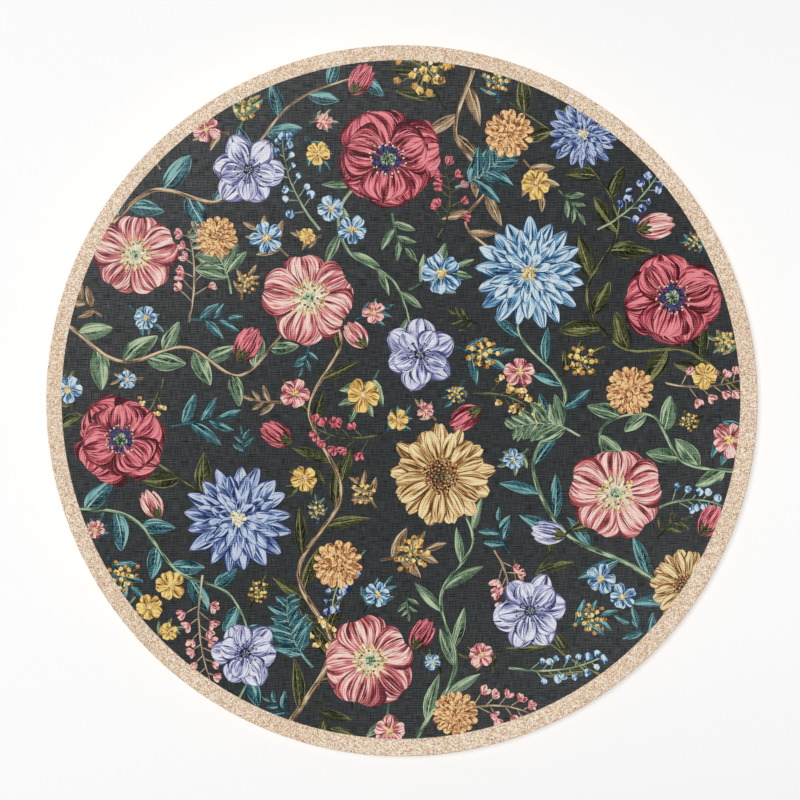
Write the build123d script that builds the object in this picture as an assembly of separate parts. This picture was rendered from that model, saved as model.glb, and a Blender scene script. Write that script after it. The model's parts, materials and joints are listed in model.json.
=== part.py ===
from build123d import *
import os
from math import asin, cos, degrees, radians, sin

# Round cork bulletin board that hangs on a wall, with a printed cloth glued to its face.
#
# The board is a cork disc on a fibreboard disc. A slightly smaller cloth disc is glued to the
# cork, so a margin of bare cork shows all round it. The back carries two strap hangers, each with
# a D ring that swings in the folded end of its strap, and four rubber bumpers that rest on the wall.
#
# Frame, in millimetres: +Z is up, the face looks along -Y, the wall is at +Y, and left and right
# are as seen by someone who faces the board. The origin is on the front of the cloth, on the
# board's axis. Sheets are stacked from the front of the cloth towards +Y.

# Board
board_diameter = 400.0
cork_thickness = 6.0
cork_edge_radius = 0.8
backing_thickness = 5.0
backing_edge_chamfer = 0.6

# Cloth: it was laid by hand, a little off the board's axis
cloth_margin = 9.3
cloth_thickness = 0.6
cloth_shift_x = -0.5
cloth_shift_z = 0.7

# Hangers: where each ring's pivot is, measured from the board's axis and rim
hanger_angle = 36.87
hanger_rim_distance = 50.0
hanger_wall_clearance = 0.6
hanger_sides = {"left": -1, "right": 1}

# Strap of a hanger, folded double round the bar of its ring
strap_width = 12.0
strap_thickness = 0.7
strap_layer_gap = 0.1
strap_shoulder_length = 1.2
strap_slope_length = 4.4
strap_bend_radius = 0.8
strap_end_margin = 6.0
strap_corner_radius = 3.0

# Ring of a hanger, a D of round wire
ring_wire_diameter = 1.8
ring_corner_radius = 2.5
ring_side_length = 0.5
ring_clearance = 0.1
ring_side_play = 0.5

# Screws: two through each strap
screw_shank_diameter = 2.9
screw_cover = 0.6
screw_tip_length = 1.8
screw_tip_diameter = 0.6
screw_head_diameter = 5.6
screw_head_height = 1.6
screw_head_radius = 0.7
screw_slot_width = 0.9
screw_slot_length = 3.2
screw_slot_depth = 1.0
screw_hole_clearance = 0.15
screw_pilot_clearance = 0.05
screw_ring_clearance = 1.0
screw_pitch = 12.0
screw_rows = {"upper": 0, "lower": 1}

# Bumpers
bumper_base_diameter = 12.7
bumper_face_diameter = 10.0
bumper_edge_radius = 0.6
bumper_rim_distance = 28.0
bumper_angles = {"upper_right": 45, "upper_left": 135, "lower_left": 225, "lower_right": 315}

# Stack of sheets, from the front
cork_front_y = cloth_thickness
cork_back_y = cork_front_y + cork_thickness
board_back_y = cork_back_y + backing_thickness

# Ring and strap
ring_bar_length = strap_width + 2 * ring_side_play
ring_half_width = ring_bar_length / 2 + ring_corner_radius
ring_shoulder = ring_corner_radius + ring_side_length
ring_reach = ring_shoulder + ring_half_width + ring_wire_diameter / 2
loop_middle_radius = ring_wire_diameter / 2 + ring_clearance + strap_thickness / 2
loop_height = 2 * loop_middle_radius + strap_thickness
pivot_height = loop_height / 2
strap_stack = 2 * strap_thickness + strap_layer_gap

# Screws and bumpers
screw_first_distance = ring_reach + screw_head_diameter / 2 + screw_ring_clearance
screw_length = strap_stack + backing_thickness - screw_cover
strap_length = screw_first_distance + screw_pitch + strap_end_margin
bumper_height = loop_height + hanger_wall_clearance


def disc(diameter, thickness, front_y, centre_x=0, centre_z=0):
    """Round plate with its axis along Y and its front face at front_y."""
    front = Plane((centre_x, front_y, centre_z), x_dir=(1, 0, 0), z_dir=(0, 1, 0))
    return extrude(front * Circle(diameter / 2), thickness)


def cork_sheet():
    """Cork disc that takes the pins, with its front edge rubbed round."""
    sheet = disc(board_diameter, cork_thickness, cork_front_y)
    front = sheet.faces().sort_by(Axis.Y)[0]
    return fillet(front.edges(), cork_edge_radius)


def printed_cloth():
    """Cloth disc glued to the cork, with the margin of bare cork round it."""
    diameter = board_diameter - 2 * cloth_margin
    return disc(diameter, cloth_thickness, 0, cloth_shift_x, cloth_shift_z)


def backing_board():
    """Fibreboard disc behind the cork, with a blind hole for each hanger screw."""
    board = disc(board_diameter, backing_thickness, cork_back_y)
    rear = board.faces().sort_by(Axis.Y)[-1]
    board = chamfer(rear.edges(), backing_edge_chamfer)
    for side in hanger_sides:
        for row in screw_rows:
            board -= screw_place(side, row) * screw_shaft(screw_pilot_clearance)
    return board


def pivot_place(side):
    """Middle of the pivot axis of one hanger's ring."""
    pivot_circle_radius = board_diameter / 2 - hanger_rim_distance
    x = hanger_sides[side] * pivot_circle_radius * cos(radians(hanger_angle))
    z = pivot_circle_radius * sin(radians(hanger_angle))
    return Location((x, board_back_y + pivot_height, z))


def screw_place(side, row):
    """Seat of a screw on the strap, with local +Z out of the board."""
    seat = Plane((0, 0, 0), x_dir=(1, 0, 0), z_dir=(0, 1, 0))
    distance = screw_first_distance + screw_rows[row] * screw_pitch
    return pivot_place(side) * Pos(0, strap_stack - pivot_height, -distance) * Location(seat)


def screw_shaft(growth):
    """Shank and point of a screw, down local -Z from its seat, with its radius larger by growth."""
    shank_radius = screw_shank_diameter / 2 + growth
    tip_radius = screw_tip_diameter / 2 + growth
    tip_start = screw_tip_length - screw_length
    outline = Polyline(
        (0, 0),
        (shank_radius, 0),
        (shank_radius, tip_start),
        (tip_radius, -screw_length),
        (0, -screw_length),
        close=True,
    )
    return revolve(Plane.XZ * make_face(outline), Axis.Z)


def hanger_screw(side, row):
    """Pan-head wood screw with a cross recess, driven through both layers of the strap."""
    head = extrude(Circle(screw_head_diameter / 2), screw_head_height)
    head = fillet(head.edges().sort_by(Axis.Z)[-1], screw_head_radius)
    screw = head + screw_shaft(0)
    head_top = Plane.XY.offset(screw_head_height)
    for turn in (0, 90):
        slot = head_top * Rot(0, 0, turn) * Rectangle(screw_slot_length, screw_slot_width)
        screw -= extrude(slot, -screw_slot_depth)
    return screw_place(side, row) * screw


def strap_line():
    """Middle line of the folded strap about the pivot: local X is up, local Y is out of the board."""
    low = -loop_middle_radius
    high = low + strap_thickness + strap_layer_gap
    slope_start = -strap_shoulder_length
    slope_end = slope_start - strap_slope_length
    under = Line((-strap_length, low), (0, low))
    loop = CenterArc((0, 0), loop_middle_radius, -90, 180)
    over = FilletPolyline(
        (0, loop_middle_radius),
        (slope_start, loop_middle_radius),
        (slope_end, high),
        (-strap_length, high),
        radius=strap_bend_radius,
    )
    return under.edges() + loop.edges() + over.edges()


def hanger_strap(side):
    """Steel strap folded round the bar of the ring, with holes through both layers for its screws."""
    profile_plane = Plane((0, 0, 0), x_dir=(0, 0, 1), z_dir=(-1, 0, 0))
    profile = trace(strap_line(), strap_thickness)
    strap = extrude(profile_plane * profile, strap_width / 2, both=True)
    end_corners = strap.edges().filter_by(Axis.Y).group_by(Axis.Z)[0]
    strap = pivot_place(side) * fillet(end_corners, strap_corner_radius)
    for row in screw_rows:
        hole_radius = screw_shank_diameter / 2 + screw_hole_clearance
        strap -= screw_place(side, row) * extrude(Circle(hole_radius), -strap_stack)
    return strap


def ring_line():
    """Closed middle line of the D ring, with its straight bar along local X on the pivot axis."""
    half_bar = ring_bar_length / 2
    bar = Line((-half_bar, 0), (half_bar, 0))
    right_corner = CenterArc((half_bar, ring_corner_radius), ring_corner_radius, -90, 90)
    right_side = Line((ring_half_width, ring_corner_radius), (ring_half_width, ring_shoulder))
    bow = CenterArc((0, ring_shoulder), ring_half_width, 0, 180)
    left_side = Line((-ring_half_width, ring_shoulder), (-ring_half_width, ring_corner_radius))
    left_corner = CenterArc((-half_bar, ring_corner_radius), ring_corner_radius, 180, 90)
    return Wire([bar, right_corner, right_side, bow, left_side, left_corner])


def hanger_ring(side):
    """Round-wire D ring that swings in the loop of the strap, standing up as it does when hung."""
    upright = Plane((0, 0, 0), x_dir=(1, 0, 0), z_dir=(0, -1, 0))
    section = Plane((0, 0, 0), z_dir=(1, 0, 0)) * Circle(ring_wire_diameter / 2)
    return pivot_place(side) * sweep(section, upright * ring_line())


def bumper(angle):
    """Rubber bumper stuck to the back, a low cone whose flat face rests on the wall."""
    circle_radius = board_diameter / 2 - bumper_rim_distance
    x = circle_radius * cos(radians(angle))
    z = circle_radius * sin(radians(angle))
    foot = Plane((x, board_back_y, z), x_dir=(1, 0, 0), z_dir=(0, 1, 0))
    base = foot * Circle(bumper_base_diameter / 2)
    face = foot.offset(bumper_height) * Circle(bumper_face_diameter / 2)
    cone = loft([base, face])
    return fillet(cone.faces().sort_by(Axis.Y)[-1].edges(), bumper_edge_radius)


def ring_limits():
    """Swing of a ring from upright, in degrees, until its bow meets the board or the strap."""
    bow_distance = ring_shoulder + ring_half_width
    wire_radius = ring_wire_diameter / 2
    back = degrees(asin((pivot_height - wire_radius) / bow_distance))
    down = 180 + degrees(asin((pivot_height - wire_radius - strap_stack) / bow_distance))
    return -back, down


def main():
    """Builds every piece and writes each to its own STEP file in parts."""
    pieces = {
        "cork_sheet": cork_sheet(),
        "printed_cloth": printed_cloth(),
        "backing_board": backing_board(),
    }
    for side in hanger_sides:
        pieces[f"hanger_strap_{side}"] = hanger_strap(side)
        pieces[f"hanger_ring_{side}"] = hanger_ring(side)
        for row in screw_rows:
            pieces[f"hanger_screw_{side}_{row}"] = hanger_screw(side, row)
    for place, angle in bumper_angles.items():
        pieces[f"bumper_{place}"] = bumper(angle)

    os.makedirs("parts", exist_ok=True)
    for name, piece in pieces.items():
        export_step(piece, f"parts/{name}.step")

    print("ring swing", ring_limits(), "degrees from upright")
    print("left ring pivot", pivot_place("left").position, "and wall at y", board_back_y + bumper_height)


main()
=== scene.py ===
"""Looks of a round cork bulletin board: printed cloth face, cork margin, fibreboard back, hangers.

Lengths in the classes are in millimetres and become metres where a mesh is made. The cloth's print
is worked out flat, as closed patches of ink in painter's order, in board coordinates: x to the
right and z up, from the middle of the board. One planar subdivision then cuts the cloth's front
into faces that each belong to the topmost patch over them.
"""

import json
import logging
from dataclasses import dataclass, field
from enum import Enum
from functools import partialmethod
from math import pi, radians, tau

import bmesh
import bpy
import numpy as np
from bpy.types import Material, Mesh, Node, NodeSocket, Object
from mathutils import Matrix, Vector, noise
from mathutils.geometry import delaunay_2d_cdt

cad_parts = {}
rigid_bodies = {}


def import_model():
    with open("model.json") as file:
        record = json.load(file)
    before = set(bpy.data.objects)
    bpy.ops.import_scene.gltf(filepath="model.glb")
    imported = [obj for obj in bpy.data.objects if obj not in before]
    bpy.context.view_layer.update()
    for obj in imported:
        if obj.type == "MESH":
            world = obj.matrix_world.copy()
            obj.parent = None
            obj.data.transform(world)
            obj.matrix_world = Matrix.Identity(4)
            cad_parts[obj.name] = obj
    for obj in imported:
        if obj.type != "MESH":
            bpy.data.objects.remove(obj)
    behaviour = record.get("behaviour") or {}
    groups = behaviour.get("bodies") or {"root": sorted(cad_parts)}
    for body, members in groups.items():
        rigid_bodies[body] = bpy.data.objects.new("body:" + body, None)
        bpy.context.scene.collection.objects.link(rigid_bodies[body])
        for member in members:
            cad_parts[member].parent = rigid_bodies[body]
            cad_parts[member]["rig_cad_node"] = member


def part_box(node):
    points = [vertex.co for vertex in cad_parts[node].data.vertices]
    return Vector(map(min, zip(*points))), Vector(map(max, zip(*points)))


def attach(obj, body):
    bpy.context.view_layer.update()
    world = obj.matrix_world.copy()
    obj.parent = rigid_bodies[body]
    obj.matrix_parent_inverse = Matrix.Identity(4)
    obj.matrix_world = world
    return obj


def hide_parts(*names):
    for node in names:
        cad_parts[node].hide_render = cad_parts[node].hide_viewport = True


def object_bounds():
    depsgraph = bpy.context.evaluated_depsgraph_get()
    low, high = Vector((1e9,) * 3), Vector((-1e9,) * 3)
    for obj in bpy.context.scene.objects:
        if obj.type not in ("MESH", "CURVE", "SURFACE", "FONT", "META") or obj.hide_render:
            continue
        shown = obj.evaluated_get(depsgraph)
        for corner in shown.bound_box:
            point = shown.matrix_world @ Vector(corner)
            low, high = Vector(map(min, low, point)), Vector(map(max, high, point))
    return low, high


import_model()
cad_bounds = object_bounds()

MM = 0.001
GOLDEN_ANGLE = pi * (3 - 5**0.5)
# How far into the brush's pattern strokes may start, and the length of stem that takes one unit of it.
BRUSH_PATTERN = 400.0
STROKE_RUN = 14.0
# Labels of triangles that lie off a tile, and of those whose patch isn't known yet.
OUTSIDE, UNKNOWN = -2, -3

Array = np.ndarray
Pair = tuple[float, float]
Rgb = tuple[int, int, int]

log = logging.getLogger("bulletin_board")


def linear(rgb: Rgb) -> tuple[float, float, float, float]:
    """Turns an 8-bit display colour into the linear colour that a shader takes.

    Each channel c in 0..1 becomes c / 12.92 below 0.04045, and ((c + 0.055) / 1.055) ** 2.4 above.

    Args:
        rgb: red, green and blue, each from 0 to 255.

    Returns:
        Linear red, green, blue, and an alpha of 1.
    """
    c = np.array(rgb, float) / 255
    lin = np.where(c <= 0.04045, c / 12.92, ((c + 0.055) / 1.055) ** 2.4)
    return (*lin.tolist(), 1.0)


def turns(count: int) -> Array:
    """That many even steps round a full turn."""
    return np.linspace(0, tau, count, endpoint=False)


def columns(*values: Array) -> Array:
    """Arrays side by side, as the columns of one."""
    return np.stack(values, axis=-1)


def toward(turn: Array) -> Array:
    """Unit vectors at angles from the x axis."""
    return columns(np.cos(turn), np.sin(turn))


def sampled(at: Array, run: Array, line: Array) -> Array:
    """Places at distances along a line whose points are at those distances of run."""
    return columns(*(np.interp(at, run, line[:, k]) for k in range(2)))


def sides_of(triangles: Array) -> Array:
    """The sides of triangles, three for each, as pairs of corner numbers."""
    return triangles[:, [0, 1, 1, 2, 2, 0]].reshape(-1, 2)


@dataclass(frozen=True)
class Disc:
    """A round piece of the board: its centre in x and z, radius, and depth from front to back."""

    centre: Pair
    radius: float
    front: float
    back: float
    corners: int = 540

    @classmethod
    def of(cls, node: str) -> "Disc":
        """The disc that fills a CAD node's box, to a tenth of a millimetre."""
        low, high = (np.array(corner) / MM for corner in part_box(node))
        x, _, z = np.round((low + high) / 2, 1).tolist()
        radius = round(float((high - low).max()) / 2, 1)
        return cls((x, z), radius, round(float(low[1]), 1), round(float(high[1]), 1))

    def outline(self) -> Array:
        """Corner k is the centre plus radius * (cos, sin) of k turns over the corners."""
        return np.array(self.centre) + self.radius * toward(turns(self.corners))

    def wedge(self, point: Array, half_angle: float = 0.15) -> Array:
        """The slice of the disc round the direction from its centre towards a point."""
        away = point - np.array(self.centre)
        middle = round(np.arctan2(away[1], away[0]) / tau * self.corners)
        reach = int(half_angle / tau * self.corners)
        chosen = np.arange(middle - reach, middle + reach + 1) % self.corners
        return np.vstack([[self.centre], self.outline()[chosen]])


class Ink(Enum):
    """Printing inks of the cloth, each as a dark, a middle and a light display colour."""

    GROUND = (52, 55, 57), (54, 57, 58), (56, 59, 60)
    SKY_SHADE = (24, 66, 108), (44, 102, 148), (78, 146, 190)
    SKY = (44, 108, 160), (116, 180, 218), (222, 236, 238)
    SKY_LIGHT = (140, 196, 224), (196, 224, 236), (238, 244, 240)
    DENIM_SHADE = (28, 42, 92), (46, 70, 130), (74, 106, 168)
    DENIM = (48, 76, 144), (96, 130, 190), (204, 216, 236)
    DENIM_LIGHT = (110, 140, 196), (160, 182, 218), (220, 228, 240)
    CORAL_SHADE = (132, 30, 50), (182, 56, 70), (218, 96, 98)
    CORAL = (194, 64, 80), (232, 128, 124), (253, 220, 206)
    CORAL_LIGHT = (238, 150, 142), (248, 196, 180), (254, 232, 220)
    OCHRE_SHADE = (122, 72, 28), (166, 108, 46), (204, 148, 70)
    OCHRE = (172, 112, 44), (228, 182, 102), (252, 232, 172)
    OCHRE_LIGHT = (236, 196, 116), (246, 218, 150), (253, 238, 192)
    CONE = (62, 32, 20), (98, 54, 28), (142, 84, 40)
    CONE_LIGHT = (166, 92, 38), (206, 134, 56), (238, 184, 96)
    LILAC_SHADE = (70, 74, 138), (104, 108, 170), (142, 146, 200)
    LILAC = (108, 112, 178), (176, 180, 220), (240, 241, 248)
    LILAC_LIGHT = (200, 204, 234), (224, 227, 242), (246, 246, 250)
    INDIGO = (24, 26, 62), (42, 46, 92), (74, 78, 136)
    CRIMSON_SHADE = (74, 6, 22), (114, 12, 34), (160, 28, 50)
    CRIMSON = (136, 16, 42), (196, 40, 66), (246, 128, 138)
    CRIMSON_LIGHT = (212, 62, 90), (234, 104, 122), (250, 160, 166)
    ORANGE_SHADE = (132, 64, 26), (172, 92, 36), (204, 122, 52)
    ORANGE = (184, 100, 38), (226, 152, 72), (252, 216, 140)
    ORANGE_LIGHT = (238, 182, 98), (246, 202, 126), (253, 228, 166)
    YELLOW_SHADE = (150, 96, 20), (186, 126, 32), (216, 158, 50)
    YELLOW = (206, 144, 28), (242, 192, 66), (253, 226, 124)
    YELLOW_LIGHT = (216, 194, 132), (240, 226, 176), (254, 248, 218)
    TEAL_SHADE = (12, 50, 62), (26, 76, 88), (48, 106, 116)
    TEAL = (24, 82, 96), (62, 132, 140), (140, 196, 190)
    TEAL_LIGHT = (108, 176, 178), (144, 200, 196), (188, 222, 212)
    OLIVE_SHADE = (30, 33, 18), (44, 47, 26), (66, 70, 38)
    OLIVE = (44, 47, 25), (76, 80, 43), (136, 136, 82)
    OLIVE_LIGHT = (104, 108, 60), (136, 136, 82), (178, 174, 116)
    SAGE_SHADE = (48, 76, 56), (76, 106, 80), (106, 136, 102)
    SAGE = (74, 110, 82), (130, 162, 122), (192, 210, 168)
    SAGE_LIGHT = (150, 180, 140), (182, 204, 164), (214, 224, 190)
    TAN_SHADE = (96, 70, 46), (128, 98, 66), (160, 126, 88)
    TAN = (128, 96, 64), (180, 146, 104), (226, 202, 160)
    TAN_LIGHT = (196, 168, 122), (220, 196, 154), (240, 220, 182)


STROKE_ROWS = {
    "blade_base": {"base": 2, "heading": 1},
    "blade_size": {"length": 1, "width": 1, "bend": 1},
    "blade_form": {"belly": 1, "fullness": 1, "marks": 1},
    "blade_tone": {"tone": 2, "rate": 1},
    "blade_shift": {"shift": 2, "rim": 1},
}
STROKE = np.dtype(
    [(name, float, (n,) if n > 1 else ()) for row in STROKE_ROWS.values() for name, n in row.items()]
)
INK_COLOURS = ("ink_dark", "ink_middle", "ink_light")


@dataclass
class Patches:
    """Closed patches of one ink, each with the way in which the brush laid it.

    outlines holds patches x corners x (x, z), and strokes a STROKE row for each. Strokes start at
    the base, run along the heading for the length and fill the width, which narrows as a blade's
    does. marks is how many lie side by side, tone their lightness at start and end, shift and rate
    where they start in the brush's pattern and how fast they run through it, and rim how far the
    patch darkens towards its outline.
    """

    outlines: Array
    ink: Ink
    strokes: Array


@dataclass
class Artwork:
    """The print, built up as layers of patches, the last on top."""

    seed: int = 2117
    layers: list[Patches] = field(default_factory=list)

    def __post_init__(self) -> None:
        """Starts the one stream of random numbers that every motif draws from."""
        self.rng = np.random.default_rng(self.seed)

    def vary(self, low: float, high: float, *shape: int) -> Array:
        """Random numbers spread evenly from low to high, in an array of that shape."""
        return self.rng.uniform(low, high, shape)

    def lay(self, outlines: Array, ink: Ink, strokes: Array) -> None:
        """Lays patches of one ink on top of what is there."""
        self.layers.append(Patches(outlines, ink, strokes))

    def strokes(self, count: int, tone: Pair, scatter: float, **fields: Array | float) -> Array:
        """STROKE rows of strokes that are straight and even but for the fields given.

        Args:
            count: number of rows.
            tone: lightness at the start and at the end.
            scatter: how far one row's lightness may be from the next one's.
            fields: the rest of the rows, by name.

        Returns:
            The rows.
        """
        rows = np.zeros(count, STROKE)
        rows["tone"] = np.array(tone) + self.vary(-scatter, scatter, count, 1)
        rows["shift"] = self.vary(0, BRUSH_PATTERN, count, 2)
        for name, value in {"belly": 1.0, **fields}.items():
            rows[name] = value
        return rows


@dataclass(frozen=True)
class BladeShape:
    """Outline of a petal or leaf, between a base at 0 and a tip at 1 along its length.

    A belly under 1 is widest near the base, and a fullness under 1 is blunt. Teeth run round the
    outline, the notch is a dip at the tip, both in shares of the length, and ripple is how
    unevenly the sides run. The notch is a bell curve of notch_width radians of the outline's turn.
    """

    belly: float = 1.0
    fullness: float = 0.8
    teeth: int = 0
    tooth_depth: float = 0.0
    notch: float = 0.0
    ripple: float = 0.06
    corners: int = 16
    notch_width: float = 0.32

    def half_width(self, along: Array) -> Array:
        """Half-width at each place along the blade: sin(pi * along^belly) ^ fullness."""
        return np.sin(pi * np.clip(along, 0, 1) ** self.belly) ** self.fullness


@dataclass
class Blades:
    """A set of petals or leaves, each growing from its base along its heading and bending aside.

    A point of a blade is its base, plus along * length on its heading, plus across * width / 2 +
    bend * length * along^2 to its left. phase says where its ripple starts.
    """

    base: Array
    heading: Array
    length: Array
    width: Array
    bend: Array
    phase: Array
    shape: BladeShape

    def part(self, chosen: slice) -> "Blades":
        """The chosen blades alone."""
        rows = (self.base, self.heading, self.length, self.width, self.bend, self.phase)
        return Blades(*(row[chosen] for row in rows), self.shape)

    def place(self, across: Array, along: Array) -> Array:
        """Places blades x points, given across from -1 to 1 and along from 0 to 1, as (x, z)."""
        forward = along * self.length[:, None]
        left = across * self.width[:, None] / 2 + self.bend[:, None] * self.length[:, None] * along**2
        cos_h = np.cos(self.heading)[:, None]
        sin_h = np.sin(self.heading)[:, None]
        x = self.base[:, :1] + forward * cos_h - left * sin_h
        z = self.base[:, 1:] + forward * sin_h + left * cos_h
        return columns(x, z)

    def copies(self, across: Array, along: Array) -> Array:
        """Places the same points on every blade."""
        count = len(self.base)
        return self.place(np.tile(across, (count, 1)), np.tile(along, (count, 1)))

    def outline(self, scale: float = 1.0) -> Array:
        """Outline of each blade: along is (1 - cos t) / 2 and across is the half-width times the
        sign of sin t, for t round a full turn, with teeth, a notch and a ripple added."""
        shape = self.shape
        t = turns(shape.corners)[None, :]
        phase = self.phase[:, None]
        along = (1 - np.cos(t)) / 2
        across = np.sign(np.sin(t + 1e-9)) * shape.half_width(along)
        across = across * (1 + shape.ripple * np.sin(3 * t + phase))
        teeth = shape.tooth_depth * np.cos(shape.teeth * t + phase) * along**2
        notch = shape.notch * np.exp(-(((t - pi) / shape.notch_width) ** 2))
        along = along * (1 + shape.ripple * 0.5 * np.sin(2 * t + 2 * phase)) + teeth - notch
        return self.place(across * scale, along * (1 + scale) / 2)

    def slivers(self, art: Artwork, count: int, breadth: float, start: Pair, stop: Pair) -> Array:
        """Crisp brush marks that run with each blade's sides.

        Marks stand evenly over 0.85 of the blade's width. One at share c of it is a lens: across is
        c * half_width(along) + breadth * sin t, and along runs from start to stop as (1 - cos t) / 2.

        Args:
            art: gives the random numbers.
            count: marks on each blade.
            breadth: half a mark's width, as a share of half the blade's.
            start: range of where marks start.
            stop: range of where marks stop.

        Returns:
            (blades * count) x corners x (x, z).
        """
        blades = len(self.base)
        spread = 0.85
        t = turns(6)[None, None, :]
        step = 2 * spread / count
        middle = (np.arange(count) + 0.5) * step - spread + art.vary(-0.4, 0.4, blades, count) * step
        low = art.vary(*start, blades, count)[:, :, None]
        high = art.vary(*stop, blades, count)[:, :, None]
        along = low + (high - low) * (1 - np.cos(t)) / 2
        across = middle[:, :, None] * self.shape.half_width(along) + breadth * np.sin(t)
        points = self.place(across.reshape(blades, -1), along.reshape(blades, -1))
        return points.reshape(blades * count, t.shape[-1], 2)

    def lay(
        self,
        art: Artwork,
        outlines: Array,
        ink: Ink,
        tone: Pair = (0.4, 0.6),
        scatter: float = 0.08,
        marks: float = 5.0,
        rim: float = 0.0,
    ) -> None:
        """Lays outlines of these blades, or of marks on them, with strokes that follow the blades.

        Args:
            art: the print they are laid on.
            outlines: one or more for each blade, blade by blade.
            ink: their ink.
            tone: lightness at the blades' bases and tips.
            scatter: how far one outline's lightness may be from the next one's.
            marks: strokes side by side in a blade.
            rim: how far they darken towards the blades' sides and tips.
        """
        times = len(outlines) // len(self.base)
        names = ("base", "heading", "length", "width", "bend")
        place = {name: np.repeat(getattr(self, name), times, axis=0) for name in names}
        place |= {name: getattr(self.shape, name) for name in ("belly", "fullness")}
        rows = art.strokes(len(outlines), tone, scatter, marks=marks, rate=1.1, rim=rim, **place)
        art.lay(outlines, ink, rows)


def grow(
    art: Artwork, base: Array, heading: Array, length: Array, width: Array, bend: float, shape: BladeShape
) -> Blades:
    """Blades with a random bend of up to that much either way, and a random ripple."""
    count = len(base)
    turned = art.vary(-bend, bend, count)
    return Blades(base, heading, length, width, turned, art.vary(0, tau, count), shape)


def blobs(
    art: Artwork, centres: Array, radius: Array, ink: Ink, tone: Pair, sides: int = 5, rim: float = 0.0
) -> None:
    """Lays round dabs: corner k is the centre plus radius * (cos, sin) of k turns over sides."""
    count = len(centres)
    turn = turns(sides)[None, :] + art.vary(0, 1, count, 1)
    size = radius[:, None] * (1 + art.vary(-0.12, 0.12, count, sides))
    foot = centres - columns(np.zeros(count), radius)
    place = {"base": foot, "heading": pi / 2, "length": 2 * radius, "width": 2 * radius}
    rows = art.strokes(count, tone, 0.15, marks=0.8, rate=0.8, fullness=0.6, rim=rim, **place)
    art.lay(centres[:, None, :] + size[..., None] * toward(turn), ink, rows)


def spread_disc(centre: Array, count: int, inner: float, outer: float, phase: float) -> Array:
    """Points spread evenly over a ring, as seeds in a flower's heart: the radius grows as the
    square root of the point's number, and each turns on from the last by the golden angle."""
    k = (np.arange(count) + 0.5) / count
    radius = np.sqrt(inner**2 + (outer**2 - inner**2) * k)
    return centre + radius[:, None] * toward(np.arange(count) * GOLDEN_ANGLE + phase)


@dataclass(frozen=True)
class Tint:
    """The inks of one petal or leaf: its darks, its body and its lights."""

    dark: Ink
    body: Ink
    light: Ink

    @classmethod
    def of(cls, name: str) -> "Tint":
        """The inks of one colour."""
        return cls(Ink[f"{name}_SHADE"], Ink[name], Ink[f"{name}_LIGHT"])


@dataclass(frozen=True)
class PetalRow:
    """One ring of petals: their bases at start and tips at reach, in shares of the radius.

    tone is the lightness at base and tip. turn is how far the ring is turned, as a share of the
    step from petal to petal. marks is the brush strokes side by side in half a petal, crisp the
    number of crisp dark and light marks on it, and breadth their half-width as a share of half
    the petal's. rim is how far petals darken towards their outline.
    """

    count: int
    start: float
    reach: float
    width: float
    shape: BladeShape
    tint: Tint
    tone: Pair = (0.2, 0.8)
    turn: float = 0.0
    marks: float = 5.0
    crisp: int = 0
    breadth: float = 0.05
    bend: float = 0.06
    rim: float = 1.1

    def draw(self, art: Artwork, centre: Array, radius: float, phase: float) -> None:
        """Lays this ring petal by petal, so that each overlaps the one before it."""
        step = tau / self.count
        order = art.rng.permutation(self.count)
        heading = phase + (order + self.turn) * step + art.vary(-0.12, 0.12, self.count) * step
        away = toward(heading)
        length = (self.reach - self.start) * radius * art.vary(0.9, 1.06, self.count)
        width = self.width * radius * art.vary(0.9, 1.1, self.count)
        feet = centre + away * self.start * radius
        petals = grow(art, feet, heading, length, width, self.bend, self.shape)
        for k in range(self.count):
            petal = petals.part(slice(k, k + 1))
            petal.lay(art, petal.outline(), self.tint.body, self.tone, marks=self.marks, rim=self.rim)
            if self.crisp:
                dark = petal.slivers(art, self.crisp, self.breadth, (0.02, 0.15), (0.35, 0.7))
                petal.lay(art, dark, self.tint.dark, (0.3, 0.8), 0.2)
                light = petal.slivers(art, self.crisp, self.breadth, (0.25, 0.5), (0.8, 0.97))
                petal.lay(art, light, self.tint.light, (0.2, 0.8), 0.2)


@dataclass(frozen=True)
class Heart:
    """Dabs over a flower's middle: seeds, stamens or florets, between two shares of its radius."""

    count: int
    inner: float
    outer: float
    dab: float
    ink: Ink
    tone: Pair = (0.2, 0.9)

    def draw(self, art: Artwork, centre: Array, radius: float) -> None:
        """Lays the dabs, each of nearly the same size."""
        phase = art.rng.uniform(0, 6)
        places = spread_disc(centre, self.count, self.inner * radius, self.outer * radius, phase)
        places = places + art.vary(-0.25, 0.25, self.count, 2) * self.dab * radius
        size = self.dab * radius * art.vary(0.75, 1.25, self.count)
        blobs(art, places, size, self.ink, self.tone)


THREAD = BladeShape(fullness=0.5, ripple=0.0, corners=6)


@dataclass(frozen=True)
class Stamens:
    """Fine threads that stand out round a flower's heart, each with a dab of pollen at its tip."""

    count: int
    inner: float
    outer: float
    thread: Ink
    pollen: Ink
    dab: float = 0.035
    breadth: float = 0.02

    def draw(self, art: Artwork, centre: Array, radius: float) -> None:
        """Lays the threads as narrow blades, then their dabs."""
        heading = np.arange(self.count) * tau / self.count + art.vary(-0.1, 0.1, self.count)
        away = toward(heading)
        reach = (self.outer - self.inner) * radius * art.vary(0.55, 1.05, self.count)
        width = np.full(self.count, self.breadth * radius * 2)
        threads = grow(art, centre + away * self.inner * radius, heading, reach, width, 0.1, THREAD)
        threads.lay(art, threads.outline(), self.thread, (0.4, 0.9))
        tips = threads.base + away * reach[:, None]
        blobs(art, tips, np.full(self.count, self.dab * radius), self.pollen, (0.2, 0.9))


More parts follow.
